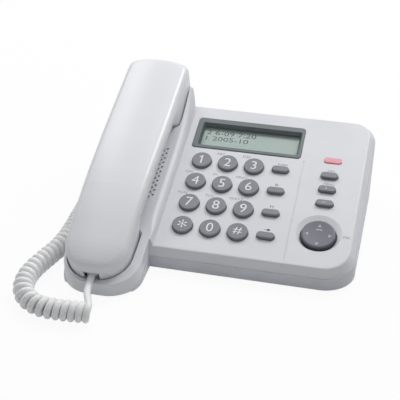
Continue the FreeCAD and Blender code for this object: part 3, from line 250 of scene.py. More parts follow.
@dataclass(frozen=True)
class Finish:
    """A surface with a soft mottle of two near colours and a fine moulded or worked grain."""

    name: str
    colour: str
    shade: str
    roughness: float
    ior: float = 1.5
    metallic: float = 0.0
    mottle_mm: float = 30.0
    grain_mm: float = 0.5
    relief_mm: float = 0.01
    stretch: Point = (1.0, 1.0, 1.0)
    alpha: float = 1.0
    roughness_spread: float = 0.05
    least_roughness: float = 0.02
    relief_strength: float = 0.6
    grain_detail: float = 2.0
    mottle_detail: float = 3.0
    mottle_span: Pair = (0.35, 0.65)

    def material(self) -> Material:
        """Builds the node material.

        Returns:
            The material, under the finish's own name.
        """
        material = bpy.data.materials.new(self.name)
        material.use_nodes = True
        tree = material.node_tree
        tree.nodes.clear()
        coords = add_node(tree, "ShaderNodeTexCoord", {}, {})
        place = add_node(tree, "ShaderNodeMapping", {"Scale": self.stretch},
                         {"Vector": coords.outputs["Object"]})
        grain = add_node(tree, "ShaderNodeTexNoise",
                         {"Scale": per_metre(self.grain_mm), "Detail": self.grain_detail},
                         {"Vector": place.outputs["Vector"]})
        rough = add_node(tree, "ShaderNodeMapRange",
                         {"To Min": max(self.least_roughness, self.roughness - self.roughness_spread),
                          "To Max": self.roughness + self.roughness_spread},
                         {"Value": grain.outputs["Fac"]})
        bump = add_node(tree, "ShaderNodeBump",
                        {"Strength": self.relief_strength, "Distance": self.relief_mm * MM},
                        {"Height": self.height(tree, place, grain)})
        shader = add_node(tree, "ShaderNodeBsdfPrincipled",
                          {"IOR": self.ior, "Metallic": self.metallic, "Alpha": self.alpha},
                          {"Base Color": self.paint(tree, place),
                           "Roughness": rough.outputs["Result"],
                           "Normal": bump.outputs["Normal"]})
        self.adjust(shader)
        add_node(tree, "ShaderNodeOutputMaterial", {}, {"Surface": shader.outputs["BSDF"]})
        return material

    def ramp(self, tree: Tree, factor: Socket, span: Pair) -> Socket:
        """Blends from the colour to the shade.

        Args:
            tree: The material's node tree.
            factor: The socket that drives the blend.
            span: The values of the factor at which the colour ends and the shade begins.

        Returns:
            The colour socket.
        """
        node = add_node(tree, "ShaderNodeValToRGB", {}, {"Fac": factor})
        first, last = node.color_ramp.elements
        first.position, last.position = span
        first.color, last.color = linear(self.colour), linear(self.shade)
        return node.outputs["Color"]

    def paint(self, tree: Tree, place: Node) -> Socket:
        """Adds the nodes of the colour: here a soft mottle.

        Args:
            tree: The material's node tree.
            place: The node that gives the pattern's coordinates.

        Returns:
            The colour socket.
        """
        mottle = add_node(tree, "ShaderNodeTexNoise",
                          {"Scale": per_metre(self.mottle_mm), "Detail": self.mottle_detail},
                          {"Vector": place.outputs["Vector"]})
        return self.ramp(tree, mottle.outputs["Fac"], self.mottle_span)

    def height(self, tree: Tree, place: Node, grain: Node) -> Socket:
        """Adds the nodes of the relief: here none, as the grain itself is the relief.

        Args:
            tree: The material's node tree.
            place: The node that gives the pattern's coordinates.
            grain: The grain's noise node.

        Returns:
            The height socket.
        """
        return grain.outputs["Fac"]

    def adjust(self, shader: Node) -> None:
        """Sets what one kind of finish needs beyond the common values: here nothing."""


@dataclass(frozen=True)
class LiquidCrystal(Finish):
    """A reflective liquid-crystal panel: rows of cells, and a painted shadow along its upper edge.

    The painted shadow stands for the shade that the bezel's deep upper edge casts on the panel. It begins
    and is full at the two distances of painted_shadow_mm, along the deck's slope from the part's origin.
    """

    row_mm: float = 1.78
    row_span: Pair = (0.72, 1.0)
    # Colour of the painted shadow of the bezel's upper edge, and where it ramps in up the slope.
    painted_shadow: str = "#52625f"
    painted_shadow_mm: Pair = (65.9, 68.6)

    def paint(self, tree: Tree, place: Node) -> Socket:
        """Adds the nodes of the colour: pale rows with faint darker gaps, and the painted shadow.

        Args:
            tree: The material's node tree.
            place: The node that gives the pattern's coordinates.

        Returns:
            The colour socket.
        """
        rows = add_node(tree, "ShaderNodeTexWave",
                        {"Scale": per_metre(self.row_mm) * WAVE_PERIOD, "bands_direction": "Y",
                         "Distortion": 0.0},
                        {"Vector": place.outputs["Vector"]})
        level = add_node(tree, "ShaderNodeMapping", {"Rotation": (-DECK_TILT, 0.0, 0.0)},
                         {"Vector": place.outputs["Vector"]})
        slope = add_node(tree, "ShaderNodeSeparateXYZ", {}, {"Vector": level.outputs["Vector"]})
        low, high = (v * MM for v in self.painted_shadow_mm)
        # Share of the painted shadow of the bezel, from none to full up the slope.
        edge = add_node(tree, "ShaderNodeMapRange",
                        {"From Min": low, "From Max": high, "interpolation_type": "SMOOTHSTEP"},
                        {"Value": slope.outputs["Y"]})
        cells = self.ramp(tree, rows.outputs["Fac"], self.row_span)
        # The mix takes its factor at socket 0 and its colours at 6 and 7, and gives one at output 2.
        mixed = add_node(tree, "ShaderNodeMix", {"data_type": "RGBA", 7: linear(self.painted_shadow)},
                         {0: edge.outputs["Result"], 6: cells})
        return mixed.outputs[2]


@dataclass(frozen=True)
class RibbedLens(Finish):
    """Tinted translucent plastic with fine ribs that spread the light behind it."""

    rib_mm: float = 1.97
    scatter: float = 0.3
    scatter_mm: float = 1.5

    def height(self, tree: Tree, place: Node, grain: Node) -> Socket:
        """Adds the nodes of the relief: ribs that run across the lens.

        Args:
            tree: The material's node tree.
            place: The node that gives the pattern's coordinates.
            grain: The grain's noise node.

        Returns:
            The height socket.
        """
        ribs = add_node(tree, "ShaderNodeTexWave",
                        {"Scale": per_metre(self.rib_mm) * WAVE_PERIOD, "bands_direction": "X",
                         "Distortion": 0.0},
                        {"Vector": place.outputs["Vector"]})
        return ribs.outputs["Fac"]

    def adjust(self, shader: Node) -> None:
        """Lets some light scatter inside the lens."""
        shader.inputs["Subsurface Weight"].default_value = self.scatter
        shader.inputs["Subsurface Scale"].default_value = self.scatter_mm * MM


@dataclass(frozen=True)
class Laminate(Finish):
    """Solder-masked circuit laminate with a maze of tracks that show paler through the mask.

    The tracks run round blocks of block_mm.  Their pitch and span are shares of a block.
    """

    block_mm: float = 10.0
    track_pitch: float = 0.15
    track_span: Pair = (0.07, 0.1)

    def paint(self, tree: Tree, place: Node) -> Socket:
        """Adds the nodes of the colour: tracks as the edges of a block pattern.

        Args:
            tree: The material's node tree.
            place: The node that gives the pattern's coordinates.

        Returns:
            The colour socket.
        """
        blocks = add_node(tree, "ShaderNodeTexVoronoi",
                          {"distance": "MANHATTAN", "Scale": per_metre(self.block_mm)},
                          {"Vector": place.outputs["Vector"]})
        bands = add_node(tree, "ShaderNodeMath", {"operation": "PINGPONG", 1: self.track_pitch},
                         {0: blocks.outputs["Distance"]})
        return self.ramp(tree, bands.outputs["Value"], self.track_span)


@dataclass(frozen=True)
class PrintedSleeve(Finish):
    """A shrunk printed sleeve with a plain band round one end of each cell."""

    band_mm: float = 98.7
    band_span: Pair = (0.6, 0.62)

    def paint(self, tree: Tree, place: Node) -> Socket:
        """Adds the nodes of the colour: wide bands along the cells.

        Args:
            tree: The material's node tree.
            place: The node that gives the pattern's coordinates.

        Returns:
            The colour socket.
        """
        bands = add_node(tree, "ShaderNodeTexWave",
                         {"Scale": per_metre(self.band_mm) * WAVE_PERIOD, "bands_direction": "X",
                          "Distortion": 0.0},
                         {"Vector": place.outputs["Vector"]})
        return self.ramp(tree, bands.outputs["Fac"], self.band_span)


# Each finish is named for its real material, and stands under the record's name for its slot.
# Grains finer than a picture point are drawn coarser, at 0.4 to 0.8 mm, so that they still break
# up the light.
FINISHES: dict[str, Finish] = {
    # Spark-eroded moulded ABS: a pale cool grey with a fine even grain and no gloss.
    "deck_plastic": Finish("abs_pale_grey_grained", "#dddfe4", "#d9dbe0", 0.42, 1.54,
                           grain_mm=0.6, relief_mm=0.012),
    # The same ABS on the tray, drawn darker than the deck as painted shade on its walls, and a little
    # rougher from a cheaper tool.
    "base_plastic": Finish("abs_grey_tray", "#c8cbd2", "#c3c6cd", 0.48, 1.54,
                           grain_mm=0.7, relief_mm=0.014),
    # Polished-tool ABS on the handset: almost white, satin, with soft highlights.
    "handset_plastic": Finish("abs_white_satin", "#e4e6ea", "#e1e3e7", 0.34, 1.54,
                              grain_mm=0.8, relief_mm=0.006),
    # Painted polycarbonate of the display bezel: dark green-grey and satin.
    "frame_plastic": Finish("painted_polycarbonate_dark", "#5a6366", "#555e61", 0.4, 1.58),
    # Clear acrylic sheet: almost nothing but a light gloss.
    "window_plastic": Finish("acrylic_clear", "#d9e6e1", "#d4e2dd", 0.08, 1.49,
                             relief_mm=0.001, alpha=0.12),
    # Liquid-crystal glass: grey-green from the rear polariser, with a painted shadow along its upper edge.
    "lcd_glass": LiquidCrystal("liquid_crystal_grey_green", "#aebfba", "#a6b8b3", 0.3, 1.52,
                               relief_mm=0.001),
    # Tinted polycarbonate: a milky red that scatters light.
    "lamp_plastic": RibbedLens("polycarbonate_milky_red", "#eda0aa", "#e898a2", 0.28, 1.58,
                               relief_mm=0.05),
    # Moulded ABS key caps: mid grey, satin from touch.
    "key_plastic": Finish("abs_mid_grey_caps", "#7b7e86", "#767981", 0.4, 1.54, relief_mm=0.008),
    # The same for the navigator, in a darker grey.
    "nav_plastic": Finish("abs_dark_grey_disc", "#60626e", "#5b5d69", 0.4, 1.54, relief_mm=0.008),
    # Unpainted polystyrene of the hidden holders.
    "inner_plastic": Finish("polystyrene_natural", "#c3c4c6", "#bdbec1", 0.5, 1.59),
    # Glass-fibre laminate under green solder mask.
    "circuit_board": Laminate("laminate_green_mask", "#1d5a2c", "#2f7a3f", 0.35, 1.52,
                              relief_mm=0.03),
    # Silicone rubber: dull, with a dusty bloom.
    "mat_rubber": Finish("silicone_rubber_grey", "#9b9ca0", "#919296", 0.65, 1.43,
                         mottle_mm=12.0, relief_mm=0.02),
    # Nitrile rubber feet: nearly black and dull.
    "foot_rubber": Finish("nitrile_rubber_black", "#3a3a3c", "#333335", 0.7, 1.52,
                          mottle_mm=5.0, relief_mm=0.03),
    # Zinc-plated steel: bright, with fine turned scratches.
    "screw_steel": Finish("zinc_plated_steel", "#b9bbc0", "#a6a8ae", 0.32, metallic=1.0,
                          mottle_mm=2.0, grain_mm=0.4, stretch=(1.0, 8.0, 1.0)),
    # Pressed and blackened steel basket.
    "speaker_steel": Finish("pressed_steel_dark", "#6d6e72", "#626368", 0.45, metallic=1.0,
                            mottle_mm=8.0),
    # Pulp paper: grey, fibrous and fully matt.
    "speaker_cone": Finish("pulp_paper_grey", "#8b8a89", "#7c7b7a", 0.85, 1.45,
                           mottle_mm=2.5, grain_mm=0.6, relief_mm=0.05, stretch=(1.0, 3.0, 1.0)),
    # Glass-filled nylon of the sockets: dark with a slight fibre shimmer.
    "jack_plastic": Finish("filled_nylon_dark", "#4a4b4e", "#424346", 0.5, 1.53, mottle_mm=3.0),
    # Phosphor bronze under a thin gold flash.
    "contact_metal": Finish("gold_flashed_bronze", "#d8bd7a", "#ccb06c", 0.25, metallic=1.0,
                            mottle_mm=3.0),
    # Printed shrink sleeve of the dry cells.
    "battery_case": PrintedSleeve("printed_shrink_sleeve", "#3c4a63", "#b98d4d", 0.3),
    # Clear polycarbonate plugs: pale and glossy, with a faint haze.
    "plug_plastic": Finish("polycarbonate_hazy", "#dfe2e4", "#d6dadd", 0.15, 1.58,
                           mottle_mm=6.0, alpha=0.75),
    # Flexible PVC jacket: off-white, satin, lightly wavy from the extruder.
    "cord_jacket": Finish("pvc_jacket_off_white", "#f2f3f3", "#edeeef", 0.42, 1.53,
                          mottle_mm=9.0, grain_mm=0.8),
    # Sand-cast iron: dark, rough and scaly.
    "ballast_iron": Finish("cast_iron_raw", "#77787b", "#5f5f62", 0.6, metallic=1.0,
                           mottle_mm=4.0, grain_mm=0.8, relief_mm=0.1),
}

INKS: dict[Ink, Finish] = {
    # Screen inks: opaque, with the small density changes of a thin printed film.
    Ink.WHITE: Finish("screen_ink_white", "#e6e8eb", "#e0e2e5", 0.5, mottle_mm=1.5),
    Ink.PALE: Finish("screen_ink_pale_grey", "#b4b7bd", "#adb0b6", 0.5, mottle_mm=1.5),
    Ink.GREY: Finish("screen_ink_grey", "#8d9198", "#868a91", 0.5, mottle_mm=1.5),
    Ink.DARK: Finish("screen_ink_dark", "#5d6067", "#54575e", 0.5, mottle_mm=1.5),
    # Driven liquid-crystal segments: near black-green, with uneven contrast.
    Ink.SEGMENTS: Finish("driven_segments", "#343e3c", "#2c3634", 0.4, mottle_mm=1.0),
}


@dataclass
class Palette:
    """All the materials of the telephone, each made once."""

    slots: dict[str, Material] = field(default_factory=dict)
    inks: dict[Ink, Material] = field(default_factory=dict)

    def mix(self) -> None:
        """Makes every material."""
        self.slots = {slot: finish.material() for slot, finish in FINISHES.items()}
        self.inks = {ink: finish.material() for ink, finish in INKS.items()}

    def dress_frame(self) -> None:
        """Gives each CAD node the finish of its own slot."""
        for name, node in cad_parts.items():
            for place in node.material_slots:
                slot = place.material.name.split(".")[0]
                place.material = self.slots[slot]
                LOG.info("node %s wears %s", name, slot)


@dataclass(frozen=True)
class Softbox:
    """A lamp of the studio, with its place and size in metres and its power in watts."""

    name: str
    place: Point
    size: Pair
    watts: float


@dataclass
class Studio:
    """The floor, the lamps and the camera, in metres but for the camera's own sizes."""

    camera_place: Point = (0.108725, -0.545096, 0.383548)
    camera_aim: Point = (-0.19086, 0.81769, -0.54310)
    lens_mm: float = 85.5
    sensor_mm: float = 36.0
    floor_span: float = 14.0
    floor_back: float = 1.6
    wall_height: float = 3.0
    sweep_radius: float = 0.5
    sweep_steps: int = 12
    paper: str = "#f4f4f5"
    white: str = "#ffffff"
    paper_glow: float = 0.93
    room_fill: float = 0.275
    lamp_aim: Point = (0.0, 0.0, 0.03)
    lamps: tuple[Softbox, ...] = (
        Softbox("top_softbox", (-0.15, 0.45, 1.2), (1.4, 1.2), 6.6),
        Softbox("right_softbox", (0.45, 0.65, 1.0), (0.4, 0.4), 6.0),
        Softbox("left_softbox", (-0.6, 0.65, 0.8), (0.4, 0.4), 1.8),
    )

    def build(self) -> None:
        """Sets up the whole studio."""
        bpy.context.scene.view_settings.view_transform = "Standard"
        self.hang_camera()
        self.lay_floor()
        self.set_world()
        for lamp in self.lamps:
            self.hang_lamp(lamp)
        LOG.info("studio ready")

    def hang_camera(self) -> None:
        """Puts the camera at the photograph's viewpoint."""
        deselect()
        turn = Vector(self.camera_aim).to_track_quat("-Z", "Y")
        bpy.ops.object.camera_add(location=self.camera_place, rotation=turn.to_euler())
        camera = bpy.context.object
        camera.name = "photo_camera"
        camera.data.sensor_width = self.sensor_mm
        camera.data.lens = self.lens_mm
        bpy.context.scene.camera = camera

    def lay_floor(self) -> None:
        """Lays a pale floor that sweeps up into a backdrop."""
        deselect()
        middle = (0, self.floor_back - self.floor_span / 2, 0)
        bpy.ops.mesh.primitive_plane_add(size=self.floor_span, location=middle)
        floor = bpy.context.object
        bpy.ops.object.transform_apply(location=True)
        back = self.floor_back - TOUCH
        pick_edges(floor, lambda a, b: min(a.y, b.y) > back)
        bpy.ops.mesh.extrude_region_move(TRANSFORM_OT_translate={"value": (0, 0, self.wall_height)})
        pick_edges(floor, lambda a, b: min(a.y, b.y) > back and max(a.z, b.z) < TOUCH)
        bpy.ops.mesh.bevel(offset=self.sweep_radius, segments=self.sweep_steps, affect="EDGES")
        bpy.ops.object.mode_set(mode="OBJECT")
        bpy.ops.object.shade_smooth()
        dress(floor, "studio_floor", self.floor_material())

    def background_rays(self, tree: Tree) -> Socket:
        """Adds the nodes that single out the rays to which the background is white.

        Args:
            tree: The node tree of the floor or the world.

        Returns:
            The socket that is one for camera, glossy and transmission rays, and zero for others.
        """
        path = add_node(tree, "ShaderNodeLightPath", {}, {})
        glossy = add_node(tree, "ShaderNodeMath", {"operation": "MAXIMUM"},
                          {0: path.outputs["Is Camera Ray"], 1: path.outputs["Is Glossy Ray"]})
        seen = add_node(tree, "ShaderNodeMath", {"operation": "MAXIMUM"},
                        {0: glossy.outputs["Value"], 1: path.outputs["Is Transmission Ray"]})
        return seen.outputs["Value"]

    def floor_material(self) -> Material:
        """Makes the floor's finish: white paper whose shadow stays soft before the camera.

        Returns:
            The paper's material.
        """
        material = bpy.data.materials.new("seamless_paper_white")
        material.use_nodes = True
        tree = material.node_tree
        tree.nodes.clear()
        share = add_node(tree, "ShaderNodeMath", {"operation": "MULTIPLY", 1: self.paper_glow},
                         {0: self.background_rays(tree)})
        paper = add_node(tree, "ShaderNodeBsdfDiffuse", {"Color": linear(self.paper)}, {})
        glow = add_node(tree, "ShaderNodeEmission",
                        {"Color": linear(self.white), "Strength": 1.0}, {})
        mixed = add_node(tree, "ShaderNodeMixShader", {},
                         {"Fac": share.outputs["Value"], 1: paper.outputs["BSDF"],
                          2: glow.outputs["Emission"]})
        add_node(tree, "ShaderNodeOutputMaterial", {}, {"Surface": mixed.outputs["Shader"]})
        return material

    def set_world(self) -> None:
        """Fills the room with soft light and shows white where nothing stands."""
        world = bpy.data.worlds.new("studio_world")
        bpy.context.scene.world = world
        world.use_nodes = True
        tree = world.node_tree
        tree.nodes.clear()
        strength = add_node(tree, "ShaderNodeMapRange", {"To Min": self.room_fill, "To Max": 1.0},
                            {"Value": self.background_rays(tree)})
        sky = add_node(tree, "ShaderNodeBackground", {"Color": linear(self.white)},
                       {"Strength": strength.outputs["Result"]})
        add_node(tree, "ShaderNodeOutputWorld", {}, {"Surface": sky.outputs["Background"]})

    def hang_lamp(self, box: Softbox) -> None:
        """Hangs one softbox that faces the telephone.

        Args:
            box: The lamp's name, place, size and power.
        """
        deselect()
        turn = (Vector(self.lamp_aim) - Vector(box.place)).to_track_quat("-Z", "Y")
        bpy.ops.object.light_add(type="AREA", location=box.place, rotation=turn.to_euler())
        lamp = bpy.context.object
        lamp.name = box.name
        lamp.data.shape = "RECTANGLE"
        lamp.data.size, lamp.data.size_y = box.size
        lamp.data.energy = box.watts


@dataclass
class CurlyCord:
    """The coiled cord between the handset and the base, with a straight lead at each end.

    The ends still_end, at the coil's back, and lifted_end, at its front, lie, in metres, on a slanting
    line on which the plug in the base comes before and the whole lead after.
    """

    wire_mm: float = 4.6
    radius_mm: float = 4.75
    turns: float = 46.5
    points_per_turn: int = 16
    blend_steps: int = 14
    route_steps: int = 24
    line_steps: int = 2
    spline_order: int = 3
    bevel_steps: int = 4
    route_mm: tuple[Point, ...] = (
        (-61.0, -118.4, 7.2), (-78.0, -120.4, 7.2), (-94.0, -119.8, 7.2), (-106.6, -112.2, 7.2),
        (-112.2, -98.4, 7.2), (-111.4, -84.5, 7.2), (-107.2, -70.5, 7.2), (-102.6, -56.0, 7.2),
        (-101.2, -40.0, 7.2), (-101.6, -15.8, 7.2), (-102.5, 10.2, 7.2), (-103.2, 31.2, 8.6),
        (-103.7, 48.2, 11.6), (-103.6, 64.2, 13.8),
    )
    handset_lead_mm: tuple[Point, ...] = (
        (-68.25, -89.4, 14.0), (-68.25, -93.2, 12.85), (-68.0, -98.0, 11.7), (-66.6, -106.0, 11.8),
        (-63.2, -113.0, 12.15),
    )
    base_lead_mm: tuple[Point, ...] = (
        (-100.5, 65.2, 8.8), (-96.0, 66.5, 8.6), (-90.0, 66.7, 8.6), (-84.9, 66.7, 8.6),
    )
    plugs: tuple[str, ...] = ("handset_plug", "base_plug")
    still_end: Point = (-0.105, 0.035, 0.0)
    lifted_end: Point = (-0.025, -0.045, 0.0)

    def build(self, palette: Palette) -> None:
        """Winds the cord and gives it its jacket.

        Args:
            palette: The materials.
        """
        points = [Vector(p) * MM for p in self.handset_lead_mm]
        points += self.helix()
        points += [Vector(p) * MM for p in self.base_lead_mm]
        line = self.spline("cord_line", points, self.line_steps)
        path = self.line_points(line)
        line.data.bevel_depth = self.wire_mm * MM / 2
        line.data.bevel_resolution = self.bevel_steps
        line.data.use_fill_caps = True
        choose(line)
        bpy.ops.object.convert(target="MESH")
        cord = bpy.context.object
        bpy.ops.object.shade_smooth()
        dress(cord, "curly_cord", palette.slots[Slot.CORD.value])
        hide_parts("cord_coil", "cord_handset_lead", "cord_base_lead")
        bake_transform(cord)

    def spline(self, name: str, points: list[Vector], steps: int) -> Piece:
        """Makes a curve of one smooth open spline.

        Args:
            name: The curve's name.
            points: Its control points, in metres.
            steps: Steps between two control points.

        Returns:
            The curve object.
        """
        curve = bpy.data.curves.new(name, "CURVE")
        curve.dimensions = "3D"
        curve.resolution_u = steps
        spline = curve.splines.new("NURBS")
        spline.points.add(len(points) - 1)
        for knot, point in zip(spline.points, points):
            knot.co = (*point, 1.0)
        spline.order_u = self.spline_order
        spline.use_endpoint_u = True
        line = bpy.data.objects.new(name, curve)
        bpy.context.scene.collection.objects.link(line)
        return line

    def line_points(self, line: Piece) -> list[Vector]:
        """Reads the points of a curve that has no bevel.

        Args:
            line: The curve object.

        Returns:
            The points, in order along it.
        """
        bpy.context.view_layer.update()
        mesh = bpy.data.meshes.new_from_object(line)
        points = [v.co.copy() for v in mesh.vertices]
        bpy.data.meshes.remove(mesh)
        return points

    def turn_table(self, axis: list[Vector]) -> list[float]:
        """Shares the turns out along the axis, fewer where it bends so that none meet inside a bend.

        Args:
            axis: The points of the route.

        Returns:
            The turns made at each of those points.
        """
        room = []
        for i in range(len(axis) - 1):
            ahead = axis[i + 1] - axis[i]
            back = axis[i] - axis[i - 1] if i else ahead
            room.append(1 - self.radius_mm * MM * ahead.angle(back) / ahead.length)
        table = [0.0]
        for i in range(len(room)):
            near = room[max(0, i - self.blend_steps):i + self.blend_steps + 1]
            table.append(table[-1] + (axis[i + 1] - axis[i]).length * sum(near) / len(near))
        return [self.turns * made / table[-1] for made in table]

    def helix(self) -> list[Vector]:
        """Winds the helix round the route's spline.

        Returns:
            The helix's points, from the handset to the base.
        """
        route = self.spline("cord_route", [Vector(p) * MM for p in self.route_mm], self.route_steps)
        axis = self.line_points(route)
        bpy.data.objects.remove(route)
        table = self.turn_table(axis)
        points = []
        step = 0
        for i in range(round(self.turns * self.points_per_turn) + 1):
            turn = i / self.points_per_turn
            while step < len(table) - 2 and table[step + 1] < turn:
                step += 1
            share = (turn - table[step]) / (table[step + 1] - table[step])
            centre = axis[step].lerp(axis[step + 1], share)
            ahead = (axis[min(step + 2, len(axis) - 1)] - axis[max(step - 1, 0)]).normalized()
            side = Vector((0, 0, 1)).cross(ahead).normalized()
            up = ahead.cross(side)
            angle = math.tau * turn
            points.append(centre + self.radius_mm * MM * (math.cos(angle) * up + math.sin(angle) * side))
        return points


@dataclass
class Printer:
    """Printed marks: each a thin film of ink.

    The corners of an arrowhead are rounded by corner_share of its width.
    """

    inks: dict[Ink, Material]
    film_mm: float = 0.04
    letter_steps: int = 3
    round_steps: int = 24
    corner_share: float = 0.1
    corner_steps: int = 3

    def word(self, name: str, text: str, cap_mm: float, place: Matrix, ink: Ink,
             width: float = 1.0) -> Piece:
        """Prints a word centred on a place.

        Args:
            name: The piece's name.
            text: What it says.
            cap_mm: Height of its capitals or figures.
            place: The print's middle and directions in the frame of the part.
            ink: What it is printed with.
            width: How wide the letters are, as a share of their natural width.

        Returns:
            The print's mesh.
        """
        deselect()
        bpy.ops.object.text_add(location=(0, 0, 0))
        film = bpy.context.object
        film.data.body = text
        film.data.resolution_u = self.letter_steps
        # The letters are one unit deep from here until they are pressed to the film's thickness.
        half_depth = 0.5
        film.data.extrude = half_depth
        bpy.ops.object.convert(target="MESH")
        corners = [v.co for v in film.data.vertices]
        low = [min(c[i] for c in corners) for i in range(2)]
        high = [max(c[i] for c in corners) for i in range(2)]
        scale = cap_mm * MM / (high[1] - low[1])
        centred = Matrix.Translation((-(low[0] + high[0]) / 2, -(low[1] + high[1]) / 2, half_depth))
        shrunk = Matrix.Diagonal((scale * width, scale, self.film_mm * MM, 1.0))
        settle(film, place @ shrunk @ centred)
        return dress(film, name, self.inks[ink])

    def disc(self, corners: int, radius_mm: float) -> Piece:
        """Starts a print as a flat disc that lies on the origin.

        Args:
            corners: How many corners it has.
            radius_mm: Its radius.

        Returns:
            The disc's mesh.
        """
        deselect()
        bpy.ops.mesh.primitive_cylinder_add(vertices=corners, radius=radius_mm * MM,
                                            depth=self.film_mm * MM,
                                            location=(0, 0, self.film_mm * MM / 2))
        bpy.ops.object.transform_apply(location=True)
        return bpy.context.object

    def bar(self, name: str, size_mm: Pair, place: Matrix, ink: Ink) -> Piece:
        """Prints a bar with round ends.

        Args:
            name: The piece's name.
            size_mm: Its length and width.
            place: The print's middle and directions in the frame of the part.
            ink: What it is printed with.

        Returns:
            The print's mesh.
        """
        length, width = size_mm
        film = self.disc(self.round_steps, width / 2)
        # The two points on the middle line stay where they are.
        nearest = width * MM / self.round_steps
        for side in (-1, 1):
            pick_points(film, lambda p: side * p.x > nearest)
            bpy.ops.transform.translate(value=(side * (length - width) * MM / 2, 0, 0))
        bpy.ops.object.mode_set(mode="OBJECT")
        settle(film, place)
        return dress(film, name, self.inks[ink])

    def arrow(self, name: str, width_mm: float, place: Matrix, ink: Ink) -> Piece:
        """Prints a solid arrowhead with rounded corners that points along the place's y direction.

        Args:
            name: The piece's name.
            width_mm: Its width before its corners are rounded.
            place: The print's middle and directions in the frame of the part.
            ink: What it is printed with.

        Returns:
            The print's mesh.
        """
        film = self.disc(3, width_mm / math.sqrt(3))
        pick_edges(film, lambda a, b: abs(a.z - b.z) > self.film_mm * MM / 2)
        bpy.ops.mesh.bevel(offset=width_mm * MM * self.corner_share, segments=self.corner_steps,
                           affect="EDGES")
        bpy.ops.object.mode_set(mode="OBJECT")
        settle(film, place)
        return dress(film, name, self.inks[ink])


@dataclass
class KeyPad:
    """Figures on the dial keys and the letters printed beside them on the deck, in millimetres.

    With the column of oval keys, the grid has four rows and four columns.
    """

    column_pitch: float = 18.8
    row_pitch: float = 20.05
    grid_middle: float = 1.5
    figure_cap: float = 7.6
    letters_cap: float = 2.3
    letters_left: float = 6.7
    letters_up: float = 9.2
    rows: tuple[str, ...] = ("123", "456", "789", "*0#")
    letters: dict[str, str] = field(default_factory=lambda: {
        "2": "ABC", "3": "DEF", "4": "GHI", "5": "JKL", "6": "MNO", "7": "PQRS", "8": "TUV", "9": "WXYZ"})
    bodies: dict[str, str] = field(default_factory=lambda: {"*": "key_star", "#": "key_hash"})
    shares: dict[str, float] = field(default_factory=lambda: {"*": 0.9, "#": 0.8})
    widths: dict[str, float] = field(default_factory=lambda: {"#": 1.2})
    flag_mm: Pair = (2.7, 0.95)
    flag_place: Pair = (-0.75, 2.65)
    flag_turn: float = 40.0

    def key_place(self, row: int, column: int) -> Pair:
        """Returns the u and v of a key's middle."""
        return ((column - self.grid_middle) * self.column_pitch, (self.grid_middle - row) * self.row_pitch)

    def build(self, printer: Printer) -> None:
        """Prints all the figures and letters of the dial.

        Args:
            printer: The printing tool.
        """
        for r, row in enumerate(self.rows):
            for c, figure in enumerate(row):
                u, v = self.key_place(r, c)
                body = self.bodies.get(figure, f"key_{figure}")
                cap = self.figure_cap * self.shares.get(figure, 1.0)
                mark = printer.word(f"figure_{body}", figure, cap, on_deck(u, v, KEY_TOP), Ink.WHITE,
                                    self.widths.get(figure, 1.0))
                attach(mark, body)
                if figure in self.letters:
                    place = on_deck(u - self.letters_left, v + self.letters_up, 0.0)
                    word = printer.word(f"letters_{body}", self.letters[figure], self.letters_cap, place,
                                        Ink.GREY)
                    attach(word, Body.BASE.value)
        self.add_flag(printer)
        LOG.info("dial printed")

    def add_flag(self, printer: Printer) -> None:
        """Prints the slanting upstroke of the figure one, which its plain stem lacks.

        Args:
            printer: The printing tool.
        """
        u, v = self.key_place(0, 0)
        spot = on_deck(u + self.flag_place[0], v + self.flag_place[1], KEY_TOP)
        slant = spot @ Matrix.Rotation(math.radians(self.flag_turn), 4, "Z")
        attach(printer.bar("figure_key_1_flag", self.flag_mm, slant, Ink.WHITE), "key_1")


@dataclass
class Legends:
    """Small generic words and marks beside and on the oval keys, in millimetres.

    Each word has its text, its u and v and the height of its capitals.
    """

    words: tuple[tuple[str, float, float, float], ...] = (
        ("FLASH", 29.0, 35.8, 1.7), ("R", 28.1, 16.2, 2.5), ("M", 27.9, -3.9, 2.4),
        ("CALL", 63.3, 35.3, 1.7), ("MENU", 63.1, 22.6, 1.9), ("VOL", 80.5, -22.1, 1.9),
    )
    speaker_place: Pair = (29.1, -24.2)
    speaker_mm: Pair = (2.4, 1.8)
    dot_place: Pair = (27.0, -24.2)
    dot_mm: Pair = (0.8, 0.7)
    bar_place: Pair = (61.9, 16.9)
    bar_mm: Pair = (2.4, 0.8)
    dash_place: Pair = (61.9, 4.1)
    dash_mm: Pair = (2.0, 0.7)

    def build(self, printer: Printer) -> None:
        """Prints the words on the deck and the marks on two of the side keys.

        Args:
            printer: The printing tool.
        """
        for text, u, v, cap in self.words:
            word = printer.word(f"word_{text.lower()}", text, cap, on_deck(u, v, 0.0), Ink.DARK)
            attach(word, Body.BASE.value)
        speaker = printer.bar("speaker_mark", self.speaker_mm, on_deck(*self.speaker_place, 0.0), Ink.DARK)
        attach(speaker, Body.BASE.value)
        dot = printer.bar("speaker_dot", self.dot_mm, on_deck(*self.dot_place, 0.0), Ink.DARK)
        attach(dot, Body.BASE.value)
        upright = on_deck(*self.bar_place, KEY_TOP) @ Matrix.Rotation(math.pi / 2, 4, "Z")
        attach(printer.bar("side_bar", self.bar_mm, upright, Ink.PALE), "side_key_2")
        dash = printer.bar("side_dash", self.dash_mm, on_deck(*self.dash_place, KEY_TOP), Ink.PALE)
        attach(dash, "side_key_3")
        LOG.info("legends printed")


